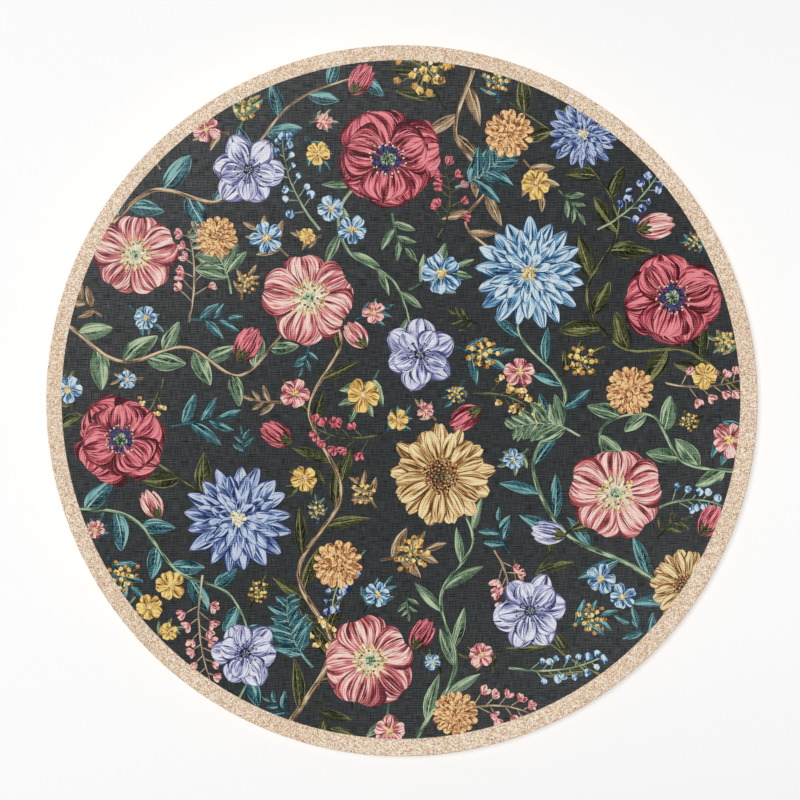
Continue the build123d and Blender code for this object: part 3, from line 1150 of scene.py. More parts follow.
@dataclass(frozen=True)
class Cutter:
    """Cuts a disc along the outlines over it, one small square tile at a time.

    Attributes:
        disc: what is cut.
        tile: side of a tile.
        half_diagonal: a tile's half diagonal over its side, with a margin.
        fine: corners nearer than this become one while a tile is cut.
        finer: the same while it is cut again.
        weld: the same once the tiles are joined.
        rim: sides of single triangles nearer the rim than this are the disc's own.
    """

    disc: Disc
    tile: float = 15.7
    half_diagonal: float = 0.75
    fine: float = 1e-4
    finer: float = 1e-5
    weld: float = 0.0008
    rim: float = 0.05

    def tiles(self) -> Array:
        """Lower left corners of the tiles that hold some of the disc."""
        reach = self.disc.radius + self.tile
        steps = np.arange(-reach, reach, self.tile)
        corners = columns(*np.meshgrid(steps, steps)).reshape(-1, 2) + self.disc.centre
        return corners[self.distance(corners) < self.disc.radius + self.tile * self.half_diagonal]

    def distance(self, corners: Array) -> Array:
        """Distance of tiles' middles from the disc's centre."""
        return np.linalg.norm(corners + self.tile / 2 - self.disc.centre, axis=-1)

    def cut(self, outlines: list[Array]) -> Mesh:
        """Cuts the disc into flat triangles that face the front.

        Args:
            outlines: corners of each patch, bottom patch first.

        Returns:
            A mesh in metres, with the number of the topmost patch over each triangle in its
            face attribute "patch", and -1 where there is none.
        """
        outlines = [outline if turned_area(outline) > 0 else outline[::-1] for outline in outlines]
        low = np.array([outline.min(axis=0) for outline in outlines])
        high = np.array([outline.max(axis=0) for outline in outlines])
        corners, triangles, patches = [], [], []
        for tile in self.tiles():
            near = np.nonzero(((low < tile + self.tile) & (high > tile)).all(axis=1))[0]
            shapes = [tile + self.tile * np.array([[0, 0], [1, 0], [1, 1], [0, 1]])]
            if self.distance(tile) > self.disc.radius - self.tile * self.half_diagonal:
                shapes.append(self.disc.wedge(tile + self.tile / 2))
            needed = set(range(len(shapes)))
            shapes.extend(outlines[k] for k in near)
            ends = np.cumsum([0] + [len(shape) for shape in shapes])
            faces = [list(range(start, stop)) for start, stop in zip(ends, ends[1:])]
            points = [Vector(point) for point in np.vstack(shapes)]
            cut = delaunay_2d_cdt(points, [], faces, 1, self.fine, True)
            inside = [k for k, origin in enumerate(cut[5]) if needed.issubset(origin)]
            if not inside:
                continue
            top = np.array([max(cut[5][k]) - len(needed) for k in inside], int)
            top = np.where(top < 0, -1, near[np.maximum(top, 0)] if len(near) else -1)
            piece = self.simplify(np.array(cut[0]), np.array([cut[2][k] for k in inside], int), top)
            triangles.append(piece[1] + sum(map(len, corners)))
            corners.append(piece[0])
            patches.append(piece[2])
        return self.join(np.vstack(corners), np.vstack(triangles), np.concatenate(patches))

    def simplify(self, corners: Array, triangles: Array, top: Array) -> tuple[Array, ...]:
        """Cuts a tile again along only those sides that two different patches share.

        A new triangle that touches such a side takes the patch on its own hand of it, and the rest
        take theirs from their neighbours. Thin ones outside the tile's own outline are dropped.

        Args:
            corners: corners of the tile's triangles.
            triangles: their corner numbers, anticlockwise.
            top: the topmost patch over each.

        Returns:
            The same three for fewer triangles.
        """
        sides = sides_of(triangles)
        owner = np.repeat(top, 3)
        rising = sides[:, 0] < sides[:, 1]
        pairs, place = np.unique(np.sort(sides, axis=1), axis=0, return_inverse=True)
        place = place.ravel()
        hands = np.full((2, len(pairs)), OUTSIDE)
        hands[0, place[rising]] = owner[rising]
        hands[1, place[~rising]] = owner[~rising]
        kept = hands[0] != hands[1]
        hands = hands[:, kept]
        used, ends = np.unique(pairs[kept], return_inverse=True)
        ends = ends.reshape(-1, 2)
        points = [Vector(point) for point in corners[used]]
        cut = delaunay_2d_cdt(points, ends.tolist(), [], 0, self.finer, True)
        new_corners = np.array(cut[0])
        new = np.array(cut[2], int)
        origin = np.array([found[0] if found else -1 for found in cut[4]], int)
        code = np.sort(np.array(cut[1], int), axis=1) @ [len(new_corners), 1]
        order = np.argsort(code)
        sides = sides_of(new)
        own = np.sort(sides, axis=1) @ [len(new_corners), 1]
        line = origin[order][np.searchsorted(code[order], own)]
        run = corners[used][ends[line]]
        step = new_corners[sides[:, 1]] - new_corners[sides[:, 0]]
        turned = (step * (run[:, 1] - run[:, 0])).sum(axis=1) < 0
        label = np.where(line < 0, UNKNOWN, hands[turned.astype(int), line]).reshape(-1, 3).max(axis=1)
        inner = np.argsort(own, kind="stable")
        inner = inner[line[inner] < 0]
        twins = own[inner][:-1] == own[inner][1:]
        one, other = inner[:-1][twins] // 3, inner[1:][twins] // 3
        while (label == UNKNOWN).any():
            before = label.copy()
            np.maximum.at(label, one, before[other])
            np.maximum.at(label, other, before[one])
            if (label == before).all():
                break
        inside = label > OUTSIDE
        return new_corners, new[inside], label[inside]

    def join(self, corners: Array, triangles: Array, patches: Array) -> Mesh:
        """Welds the tiles along their sides into one mesh in metres."""
        mesh = bpy.data.meshes.new("cut")
        points = columns(corners[:, 0], np.zeros(len(corners)), corners[:, 1]) * MM
        mesh.from_pydata(points, [], triangles)
        mesh.attributes.new("patch", "INT", "FACE").data.foreach_set("value", patches.astype(np.int32))
        work = bmesh.new()
        work.from_mesh(mesh)
        bmesh.ops.remove_doubles(work, verts=work.verts, dist=self.weld * MM)
        self.fill_cracks(work)
        bmesh.ops.delete(work, geom=[v for v in work.verts if not v.link_faces], context="VERTS")
        work.to_mesh(mesh)
        work.free()
        return mesh

    def fill_cracks(self, work: bmesh.types.BMesh) -> None:
        """Fills the hair-thin gaps left where tiles met with a corner on only one side."""
        centre = Vector((self.disc.centre[0], 0, self.disc.centre[1])) * MM
        reach = (self.disc.radius - self.rim) * MM
        open_edges = [edge for edge in work.edges if len(edge.link_faces) == 1]
        middles = [(edge.verts[0].co + edge.verts[1].co) / 2 for edge in open_edges]
        cracks = [edge for edge, middle in zip(open_edges, middles) if (middle - centre).length < reach]
        number = work.faces.layers.int["patch"]
        for face in bmesh.ops.holes_fill(work, edges=cracks, sides=3)["faces"]:
            face[number] = next(iter(face.edges[0].link_faces))[number]


@dataclass
class PrintedCloth:
    """The round printed cloth that faces the board: a thin closed sheet whose front is the print."""

    disc: Disc
    finish: "LinenPrint"
    design: FloralPrint = FloralPrint()

    def build(self, painted_sheen: "PaintedSheen") -> Object:
        art = Artwork()
        self.design.draw(art, self.disc)
        outlines = [outline for layer in art.layers for outline in layer.outlines]
        front = Cutter(self.disc).cut(outlines)
        points = read(front.vertices, "co", 3)
        triangles = read(front.polygons, "vertices", 3, int)
        patch = read(front.attributes["patch"].data, "value", 1, int)
        mesh = self.close(points, triangles)
        self.ink(art, mesh, patch)
        bake = mesh.uv_layers.new(name="OFBake").data
        bake.foreach_set("uv", self.bake_map(mesh).astype(np.float32).ravel())
        bpy.data.meshes.remove(front)
        piece = shown(mesh, "cloth_print", "board", "cloth", "printed_cloth")
        mesh.materials.append(self.finish.material(painted_sheen))
        log.info("cloth: %d patches of ink, %d triangles", len(outlines), len(triangles))
        return piece

    def close(self, points: Array, triangles: Array) -> Mesh:
        """Adds the back and the side to the cut front.

        The corners that only the rim uses are sorted by their angle about the disc's centre. The
        side joins each pair of them to the same pair at the back, and the back is one face.
        """
        sides = np.sort(sides_of(triangles), axis=1)
        pairs, count = np.unique(sides, axis=0, return_counts=True)
        rim = np.unique(pairs[count == 1])
        away = points[rim][:, [0, 2]] - np.array(self.disc.centre) * MM
        rim = rim[np.argsort(np.arctan2(away[:, 1], away[:, 0]))]
        back = points[rim] + np.array([0, self.disc.back * MM, 0])
        behind = len(points) + np.arange(len(rim))
        strip = columns(np.roll(rim, -1), rim, behind, np.roll(behind, -1))
        faces = triangles.tolist() + strip.tolist() + [behind[::-1].tolist()]
        mesh = bpy.data.meshes.new("cloth_print")
        mesh.from_pydata(np.vstack([points, back]).tolist(), [], faces)
        return mesh

    def ink(self, art: Artwork, mesh: Mesh, patch: Array) -> None:
        """Stores on every face its ink's three colours and the rows of its patch's strokes.

        Faces of the back and side, and of the front where no patch lies, take the ground's ink and
        plain rows.
        """
        plain = np.zeros(1, STROKE)
        for name, value in {"length": 9.0, "width": 9.0, "belly": 1.0, "tone": 0.5}.items():
            plain[name] = value
        rows = np.concatenate([plain] + [layer.strokes for layer in art.layers])
        names = list(Ink)
        inks = [np.full(len(layer.outlines), names.index(layer.ink)) for layer in art.layers]
        inks = np.concatenate([[names.index(Ink.GROUND)], *inks])
        face = np.zeros(len(mesh.polygons), int)
        face[: len(patch)] = patch + 1
        for k, name in enumerate(INK_COLOURS):
            colours = np.array([linear(each.value[k])[:3] for each in names])
            store(mesh, name, colours[inks[face]])
        for name, parts in STROKE_ROWS.items():
            fields = [rows[part].reshape(len(rows), -1) for part in parts]
            store(mesh, name, np.concatenate(fields, axis=1)[face])

    def bake_map(self, mesh: Mesh) -> Array:
        """Where each corner of a face lies in the cloth's UV map, from 0 to 1 each way.

        The front fills the map's circle. The side is a strip of 0.11 by 0.03 at the lower right,
        where across is the turn and up the depth, and the back is 0.12 across at the lower left.
        """
        total = read(mesh.polygons, "loop_total", 1, int)
        front = 3 * int((total == 3).sum())
        flat = read(mesh.vertices, "co", 3)[read(mesh.loops, "vertex_index", 1, int)][:, [0, 2]] / MM
        unit = (flat - np.array(self.disc.centre)) / (2 * self.disc.radius)
        place = unit * 0.998 + 0.5
        side = slice(front, len(flat) - total[-1])
        turn = np.arctan2(unit[side, 1], unit[side, 0]) / tau + 0.5
        quads = turn.reshape(-1, 4)
        quads = np.where((np.ptp(quads, axis=1)[:, None] > 0.5) & (quads < 0.5), quads + 1, quads)
        rise = np.tile([0.0, 0.0, 1.0, 1.0], len(quads))
        place[side] = columns(0.87 + 0.11 * quads.ravel(), 0.01 + 0.03 * rise)
        place[side.stop :] = unit[side.stop :] * 0.12 + 0.07
        return place


def store(mesh: Mesh, name: str, rows: Array) -> None:
    """Stores three numbers on every face, as an attribute of that name."""
    layer = mesh.attributes.new(name, "FLOAT_VECTOR", "FACE")
    layer.data.foreach_set("vector", rows.astype(np.float32).ravel())


def read(rows: bpy.types.bpy_prop_collection, name: str, width: int, kind: type = float) -> Array:
    """Reads one float or int property of every row of a mesh, as rows x width, or flat for 1."""
    values = np.empty(len(rows) * width, np.float32 if kind is float else np.int32)
    rows.foreach_get(name, values)
    values = values.astype(kind)
    return values.reshape(-1, width) if width > 1 else values


def linked(name: str, data: bpy.types.ID) -> Object:
    """Puts a mesh, lamp or camera into the scene as an object of that name."""
    made = bpy.data.objects.new(name, data)
    bpy.context.scene.collection.objects.link(made)
    return made


def shown(mesh: Mesh, name: str, body: str, slot: str, *nodes: str) -> Object:
    """Shows a mesh as a piece that rides on a body and stands for CAD nodes, which it hides."""
    piece = linked(name, mesh)
    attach(piece, body)
    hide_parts(*nodes)
    return piece


def granules(points: Array, size: float = 1.15, scatter: float = 97.0) -> tuple[Array, Array]:
    """Finds the cork granule that each point in space is in: the cell of the nearest seed.

    Args:
        points: n x 3, in millimetres.
        size: size of a granule.
        scatter: how far apart neighbours are taken from the pattern of random values.

    Returns:
        A random value from 0 to 1 of the granule, and how far the point is from a crevice, which
        is the distance to the second seed less that to the first.
    """
    found = [noise.voronoi(Vector(point)) for point in points / size]
    value = [noise.cell(seeds[0] * scatter) for _, seeds in found]
    return np.array(value) % 1.0, np.array([far[1] - far[0] for far, _ in found])


@dataclass
class CorkSheet:
    """The round cork sheet, with real pits and crevices between its granules.

    The faces of its margin, each about a step wide, begin a tuck inside the radius of the cloth.
    Pits begin at start outside that, deepen over the fade and end over the lip before the back. The
    front arris has a rounding and the back one a chamfer. pit is the depth of the deepest pit, and
    crevice half the width of a crevice over a granule's.
    """

    disc: Disc
    cloth: float
    finish: "Cork"
    tuck: float = 2.7
    start: float = 0.6
    fade: float = 0.8
    lip: float = 0.6
    rounding: float = 0.8
    chamfer: float = 0.25
    pit: float = 0.28
    crevice: float = 0.22
    step: float = 0.75

    def profile(self) -> Array:
        """Radius, depth, and how deep pits may be, from the flat front to the flat back."""
        disc = self.disc
        inner = self.cloth - self.tuck
        reach = disc.radius - self.rounding
        face = np.linspace(inner, reach, int((reach - inner) / self.step) + 1)
        turn = np.linspace(0, pi / 2, 4)[1:]
        top, bottom = disc.front + self.rounding, disc.back - self.chamfer
        wall = np.linspace(top, bottom, round((bottom - top) / self.step))[1:]
        arris = [disc.radius - self.chamfer]
        radius = [face, reach + self.rounding * np.sin(turn), np.full(len(wall), disc.radius), arris]
        depth = [np.full(len(face), disc.front), top - self.rounding * np.cos(turn), wall, [disc.back]]
        radius = np.concatenate(radius)
        depth = np.concatenate(depth)
        front = np.clip((radius - inner - self.start) / self.fade, 0, 1)
        share = front * np.clip((disc.back - depth) / self.lip, 0, 1)
        return columns(radius, depth, share)

    def build(self, painted_sheen: "PaintedSheen") -> Object:
        """Turns the profile round the axis, sinks the pits and closes the front and back.

        A point sinks along its inward normal by pit * (0.75 * (1 - rise) + 0.25 * value), where
        rise goes from 0 in a crevice to 1 on a granule, and value is the granule's own.
        """
        profile = self.profile()
        around = int(tau * self.disc.radius / self.step)
        turn = turns(around)
        tangent = np.gradient(profile[:, :2], axis=0)
        inward = columns(-tangent[:, 1], tangent[:, 0])
        inward /= np.linalg.norm(inward, axis=-1, keepdims=True)
        grid = np.repeat(profile[None], around, axis=0)
        points = self.turned(grid[..., 0], grid[..., 1], turn)
        value, crevice = granules(points.reshape(-1, 3))
        rise = np.clip(crevice / self.crevice, 0, 1)
        sunk = self.pit * (0.75 * (1 - rise) + 0.25 * value).reshape(grid.shape[:2]) * grid[..., 2]
        points = self.turned(grid[..., 0] + sunk * inward[:, 0], grid[..., 1] + sunk * inward[:, 1], turn)
        rows = len(profile)
        first = np.arange(around)[:, None] * rows + np.arange(rows - 1)[None, :]
        other = np.roll(first, -1, axis=0)
        faces = columns(first, first + 1, other + 1, other).reshape(-1, 4)
        caps = [(np.arange(around) * rows).tolist(), (np.arange(around) * rows + rows - 1)[::-1].tolist()]
        mesh = bpy.data.meshes.new("cork_granules")
        mesh.from_pydata((points.reshape(-1, 3) * MM).tolist(), [], faces.tolist() + caps)
        smooth(mesh)
        mesh.materials.append(self.finish.material(painted_sheen))
        log.info("cork: %d faces", len(mesh.polygons))
        return shown(mesh, "cork_granules", "board", "cork", "cork_sheet")

    @staticmethod
    def turned(radius: Array, depth: Array, turn: Array) -> Array:
        """Points at (radius * cos, depth, radius * sin) for each turn and row of the profile."""
        return columns(radius * np.cos(turn)[:, None], depth, radius * np.sin(turn)[:, None])


def smooth(mesh: Mesh, angle: float = 40.0) -> None:
    """Shades a mesh smoothly but for sides sharper than an angle in degrees."""
    mesh.polygons.foreach_set("use_smooth", np.ones(len(mesh.polygons), bool))
    mesh.set_sharp_from_angle(angle=radians(angle))


class Signal:
    """What a shader node gives out, with sums on it written as they are on numbers."""

    def __init__(self, graph: "Graph", socket: NodeSocket) -> None:
        """Holds one output of a node."""
        self.graph = graph
        self.socket = socket

    def math(self, operation: str, *others: "Value") -> "Signal":
        """A Math node with this as its first value."""
        return self.graph.math(operation, self, *others)

    __add__ = partialmethod(math, "ADD")
    __sub__ = partialmethod(math, "SUBTRACT")
    __mul__ = partialmethod(math, "MULTIPLY")
    __truediv__ = partialmethod(math, "DIVIDE")
    __pow__ = partialmethod(math, "POWER")
    __abs__ = partialmethod(math, "ABSOLUTE")

    def clamped(self, low: float, high: float) -> "Signal":
        """This, kept from low to high."""
        return self.math("MAXIMUM", low).math("MINIMUM", high)

    def ramp(
        self, low: float, high: float, start: float = 0.0, stop: float = 1.0, how: str = "SMOOTHSTEP"
    ) -> "Signal":
        """Maps low..high to start..stop and keeps what is beyond them at the ends."""
        ends = {"From_Min": low, "From_Max": high, "To_Min": start, "To_Max": stop}
        return self.graph.gives("MapRange", {"interpolation_type": how}, Value=self, **ends)

    def split(self) -> list["Signal"]:
        """The three numbers of this vector."""
        node = self.graph.add("SeparateXYZ", Vector=self)
        return [Signal(self.graph, output) for output in node.outputs]

    def vector(self, operation: str, other: "Value" = (0.0, 0.0, 0.0)) -> "Signal":
        """A Vector Math node with this as its first vector."""
        node = self.graph.add("VectorMath", {"operation": operation})
        self.graph.put(node.inputs[0], self)
        self.graph.put(node.inputs[1], other)
        return Signal(self.graph, node.outputs["Value" if operation == "LENGTH" else "Vector"])

    def scaled(self, *by: float) -> "Signal":
        """This vector times another, axis by axis."""
        return self.vector("MULTIPLY", by)

    def noise(
        self, scale: float, detail: float = 2.0, roughness: float = 0.5, dimensions: str = "3D"
    ) -> "Signal":
        """A noise near 0.5 that varies with this vector."""
        settings = {"noise_dimensions": dimensions}
        sockets = {"Vector": self, "Scale": scale, "Detail": detail, "Roughness": roughness}
        return self.graph.gives("TexNoise", settings, **sockets)

    def cells(self, scale: float, channel: int = 0) -> "Signal":
        """A random number for each cell round this vector."""
        node = self.graph.add("TexVoronoi", Vector=self, Scale=scale)
        colour = self.graph.add("SeparateColor", Color=node.outputs["Color"])
        return Signal(self.graph, colour.outputs[channel])

    def mixed(self, share: "Value", other: "Value") -> "Signal":
        """This colour, mixed with another by a share."""
        return self.graph.mix(share, self, other)

    def shaded(self, by: "Signal", how: str = "MULTIPLY") -> "Signal":
        """This colour times a number, or plus it."""
        return self.graph.mix(1.0, self, self.graph.joined(by, by, by), how)


Value = Signal | NodeSocket | float | tuple


class Graph:
    """Short calls that add shader nodes to a tree and join them up."""

    def __init__(self, tree: bpy.types.NodeTree) -> None:
        """Works on that tree."""
        self.tree = tree

    def add(self, kind: str, settings: dict | None = None, **sockets: Value) -> Node:
        """Adds a node.

        Args:
            kind: its type, without the "ShaderNode" in front.
            settings: its properties.
            sockets: what goes into its inputs, by name, with _ for a space.

        Returns:
            The node.
        """
        node = self.tree.nodes.new("ShaderNode" + kind)
        for name, value in (settings or {}).items():
            setattr(node, name, value)
        for name, value in sockets.items():
            self.put(node.inputs[name.replace("_", " ")], value)
        return node

    def gives(self, kind: str, settings: dict | None = None, **sockets: Value) -> Signal:
        """Adds a node and returns its first output."""
        return Signal(self, self.add(kind, settings, **sockets).outputs[0])

    def put(self, socket: NodeSocket, value: Value) -> None:
        """Links an output to an input, or sets the input's own value.

        Args:
            socket: the input.
            value: an output, a number, a vector, or a display colour of whole numbers.
        """
        value = value.socket if isinstance(value, Signal) else value
        if isinstance(value, NodeSocket):
            self.tree.links.new(value, socket)
        elif isinstance(value, tuple) and isinstance(value[0], int):
            socket.default_value = linear(value)
        else:
            socket.default_value = value

    def math(self, operation: str, *values: Value) -> Signal:
        """A Math node on those values."""
        node = self.add("Math", {"operation": operation})
        for socket, value in zip(node.inputs, values):
            self.put(socket, value)
        return Signal(self, node.outputs[0])

    def joined(self, *values: Value) -> Signal:
        """The vector of up to three numbers."""
        return self.gives("CombineXYZ", **dict(zip("XYZ", values)))

    def attribute(self, name: str, output: str = "Vector") -> Signal:
        """An attribute of the mesh."""
        return Signal(self, self.add("Attribute", {"attribute_name": name}).outputs[output])

    def mix(self, share: Value, one: Value, other: Value, how: str = "MIX") -> Signal:
        """Mixes two colours."""
        node = self.add("Mix", {"data_type": "RGBA", "blend_type": how})
        for socket, value in zip((node.inputs[0], node.inputs[6], node.inputs[7]), (share, one, other)):
            self.put(socket, value)
        return Signal(self, node.outputs[2])

    def position(self) -> Signal:
        """Where a point is in its object, in millimetres."""
        return Signal(self, self.add("TexCoord").outputs["Object"]).scaled(1000.0, 1000.0, 1000.0)

    def blend(self, share: Value, one: Node, other: Node) -> Node:
        """Mixes two shaders."""
        node = self.add("MixShader")
        for socket, value in zip(node.inputs, (share, one.outputs[0], other.outputs[0])):
            self.put(socket, value)
        return node

    def show(self, shader: Node, kind: str = "OutputMaterial") -> None:
        """Joins a shader to the output."""
        self.add(kind, Surface=shader.outputs[0])

    def surface(
        self, height: Signal, relief: float, strength: float, colour: Signal, rough: Value, **sockets: float
    ) -> None:
        """Shows the surface shader.

        Args:
            height: its fine relief, from 0 to 1.
            relief: how high that is, in millimetres.
            strength: how much of it shows.
            colour: base colour.
            rough: roughness.
            sockets: further inputs, by name.
        """
        bump = self.add("Bump", Height=height, Distance=relief * MM, Strength=strength)
        sockets |= {"Base_Color": colour, "Roughness": rough, "Normal": bump.outputs[0]}
        self.show(self.add("BsdfPrincipled", **sockets))


def new_material(name: str) -> tuple[Material, Graph]:
    """An empty material and the graph of its nodes."""
    material = bpy.data.materials.new(name)
    material.use_nodes = True
    material.node_tree.nodes.clear()
    return material, Graph(material.node_tree)


class Effect:
    """A shared group of shader nodes that takes a position and gives values and masks."""

    def __init__(self, name: str, *outputs: str) -> None:
        """Starts a group with those outputs."""
        self.tree = bpy.data.node_groups.new(name, "ShaderNodeTree")
        self.tree.interface.new_socket(name="Position", in_out="INPUT", socket_type="NodeSocketVector")
        for output in outputs:
            self.tree.interface.new_socket(name=output, in_out="OUTPUT", socket_type="NodeSocketFloat")
        self.graph = Graph(self.tree)
        self.place = Signal(self.graph, self.tree.nodes.new("NodeGroupInput").outputs["Position"])
        self.result = self.tree.nodes.new("NodeGroupOutput")

    def give(self, **values: Signal) -> None:
        """Sends values out of the group."""
        for name, value in values.items():
            self.graph.put(self.result.inputs[name], value)

    def use(self, graph: Graph, place: Signal) -> dict[str, Signal]:
        """Adds the group to a material, and returns its outputs by name."""
        node = graph.add("Group", {"node_tree": self.tree}, Position=place)
        return {output.name: Signal(graph, output) for output in node.outputs}


class PaintedSheen:
    """Painted sheen: a slow lightening towards the board's upper left, and less so towards its lower right,
    painted into the colour in place of light.
    """

    def __init__(self, reach: float = 162.0, bow: float = 0.0157, slope: float = 0.0067) -> None:
        """Builds the group that the cloth and the cork share.

        Its lift is bow * s^2 + slope * s - least, where s is how far up and left a point is, over
        the reach.
        """
        least = 0.0046
        self.effect = Effect("Daylight fading", "Lift")
        x, _, z = self.effect.place.split()
        share = (z - x) / (reach * 2**0.5)
        self.effect.give(Lift=share * share * bow + share * slope - least)

    def over(self, colour: Signal, place: Signal) -> Signal:
        """Adds the painted sheen's lift at a place to a colour."""
        return colour.shaded(self.effect.use(colour.graph, place)["Lift"], "ADD")


@dataclass(frozen=True)
class LinenPrint:
    """Printed linen: brush strokes of ink over a plain weave of warp and weft threads.

    The cloth keeps the saturation and lightness shares of its inks. Strokes swing their tone by
    stroke_depth, and leave the deepest share of an ink at the darkest. Threads stand out by the
    relief and darken the print by weave_shade.
    """

    warp: float = 0.7
    weft: float = 1.4
    stroke_depth: float = 2.5
    saturation: float = 0.87
    lightness: float = 0.83
    deepest: float = 0.25
    weave_shade: float = 2.8
    relief: float = 0.05
    roughness: float = 0.86
    gloss: float = 0.2

    def strokes(self) -> Effect:
        """Brush strokes that follow a blade, as a lightness from 0 to 1.

        A point is forward and left of the blade's base. Along is forward over length, and across
        is left less bend * length * along^2, over half the width times sin(pi * along^belly)^
        fullness. A coarse and a fine noise of (across * marks / 2, along * rate) then move the
        tone, which runs evenly from base to tip and drops at the rim.
        """
        effect = Effect("Brush strokes", "Tone")
        base, size, form, tone, shift = (effect.graph.attribute(name).split() for name in STROKE_ROWS)
        x, _, z = effect.place.split()
        x, z = x - base[0], z - base[1]
        cos_h, sin_h = base[2].math("COSINE"), base[2].math("SINE")
        along = (x * cos_h + z * sin_h) / size[0]
        left = z * cos_h - x * sin_h
        inside = along.clamped(0.0, 1.0)
        arch = (inside ** form[0] * pi).math("SINE").math("MAXIMUM", 0.0)
        half = (arch ** form[1]).math("MAXIMUM", 0.1) * size[1] * 0.5
        across = ((left - along * along * size[2] * size[0]) / half).clamped(-1.3, 1.3)
        brush = effect.graph.joined(across * form[2] * 0.5 + shift[0], along * tone[2] + shift[1])
        coarse = brush.noise(1.0, 1.0, dimensions="2D").ramp(0.34, 0.66)
        fine = brush.scaled(3.4, 1.7, 1.0).noise(1.0, 1.0, dimensions="2D").ramp(0.36, 0.64)
        swing = (coarse * 0.52 + fine * 0.48 - 0.5) * self.stroke_depth
        edge = abs(across).ramp(0.66, 1.05).math("MAXIMUM", along.ramp(0.92, 1.0)) * shift[2]
        effect.give(Tone=tone[0] + (tone[1] - tone[0]) * inside - edge + swing)
        return effect

    def weave(self) -> Effect:
        """Plain weave: rows of threads each way, some thicker or darker than others.

        Threads are sines across them, the weft bolder than the warp; one lies over the other where
        the product of their sines is positive. Slubs are noises drawn out along the threads.
        """
        effect = Effect("Linen weave", "Shade", "Height")
        place = effect.place
        x, _, z = place.split()
        wander = place.noise(0.04, 1.0) * 0.6
        warp = ((x + wander) * (tau / self.warp)).math("SINE")
        weft = ((z + wander) * (tau / self.weft)).math("SINE")
        thread = weft * 0.085 + warp * weft * 0.1
        lying = place.scaled(0.16, 0.16, 2.0).noise(1.0, 0.0)
        standing = place.scaled(2.0, 0.16, 0.16).noise(1.0, 0.0)
        slubs = (lying + standing - 1.0) * 0.62
        effect.give(Shade=slubs + thread, Height=slubs * 0.4 + thread)
        return effect

    def material(self, painted_sheen: PaintedSheen) -> Material:
        """Ink by stroke, lightened by the painted sheen and darkened by the weave."""
        material, graph = new_material("printed linen")
        place = graph.position()
        dark, middle, light = (graph.attribute(name, "Color") for name in INK_COLOURS)
        stroke = self.strokes().use(graph, place)["Tone"]
        weave = self.weave().use(graph, place)
        ink = dark.mixed(stroke.ramp(0.0, 0.5), middle).mixed(stroke.ramp(0.5, 1.0), light)
        ink = ink.shaded(stroke.ramp(-0.7, 0.1, self.deepest, 1.0))
        worn = graph.gives("HueSaturation", Saturation=self.saturation, Value=self.lightness, Color=ink)
        # painted sheen: the ink is lightened towards the board's upper left
        ink = painted_sheen.over(worn, place)
        level = graph.gives("RGBToBW", Color=ink)
        depth = level.ramp(0.06, 0.3, self.weave_shade, self.weave_shade * 0.16)
        # weave shade: partly painted shade between the threads, partly the slubs' own darker tone
        ink = ink.shaded(weave["Shade"] * depth + 1.0)
        graph.surface(weave["Height"], self.relief, 1.0, ink, self.roughness, Specular_IOR_Level=self.gloss)
        return material


@dataclass(frozen=True)
class Cork:
    """Fine pressed cork: pale granules of several tints, brown specks of bark, and painted shade in the
    crevices between granules.
    """

    granule: float = 0.68
    base: Rgb = (251, 230, 207)
    pale: Rgb = (255, 249, 232)
    warm: Rgb = (216, 184, 151)
    bark: Rgb = (146, 104, 72)
    roughness: float = 0.88
    gloss: float = 0.2

    def granules(self) -> Effect:
        """Granules: a value for each, a mask of crevices between them and a mask of bark specks."""
        effect = Effect("Cork granules", "Value", "Crevice", "Bark", "Height")
        graph = effect.graph
        swirl = graph.add("TexNoise", Vector=effect.place, Scale=0.9, Detail=2.0).outputs["Color"]
        bent = effect.place.vector("ADD", swirl)
        edges = graph.add("TexVoronoi", {"feature": "DISTANCE_TO_EDGE"}, Vector=bent, Scale=1 / self.granule)
        value = bent.cells(1 / self.granule)
        crevice = Signal(graph, edges.outputs["Distance"]).ramp(0.0, 0.09, 1.0, 0.0)
        bark = bent.cells(1.7 / self.granule, 1).ramp(0.78, 0.86)
        effect.give(Value=value, Crevice=crevice, Bark=bark, Height=value * 0.5 - crevice)
        return effect

    def material(self, painted_sheen: PaintedSheen) -> Material:
        """The cork's colour by granule, with painted shade in crevices, brown in specks and the painted sheen
        added.
        """
        material, graph = new_material("pressed cork")
        place = graph.position()
        cork = self.granules().use(graph, place)
        colour = graph.mix(cork["Value"].ramp(0.15, 0.45), self.warm, self.base)
        colour = colour.mixed(cork["Value"].ramp(0.55, 0.85), self.pale)
        colour = colour.mixed(place.noise(0.012, 1.0).ramp(0.3, 0.7, 0.0, 0.16), self.warm)
        colour = colour.mixed(place.noise(3.4, 2.0, 0.6).ramp(0.35, 0.75, 0.0, 0.25), self.warm)
        colour = colour.mixed(cork["Bark"] * 0.8, self.bark)
        # painted shade: crevices between granules are darkened towards the bark's brown
        colour = colour.mixed(cork["Crevice"] * 0.26, self.bark)
        # painted sheen: lighter towards the board's upper left
        colour = painted_sheen.over(colour, place)
        graph.surface(cork["Height"], 0.08, 0.6, colour, self.roughness, Specular_IOR_Level=self.gloss)
        return material


class Marks:
    """Wear and dust masks that several materials share."""

    def __init__(self) -> None:
        """Builds the group once: scratches, smudges and dust, each from 0 to 1."""
        self.effect = Effect("Handling marks", "Scratches", "Smudges", "Dust")
        place = self.effect.place
        how = {"rotation_type": "EULER_XYZ"}
        skewed = self.effect.graph.gives("VectorRotate", how, Vector=place, Rotation=(0.4, 0.9, 0.3))
        drawn = skewed.scaled(2.4, 0.12, 2.4)
        self.effect.give(
            Scratches=drawn.noise(1.0, 3.0, 0.7).ramp(0.56, 0.72),
            Smudges=place.noise(0.05, 3.0, 0.55).ramp(0.38, 0.66),
            Dust=place.noise(0.7, 4.0, 0.7).ramp(0.5, 0.74),
        )


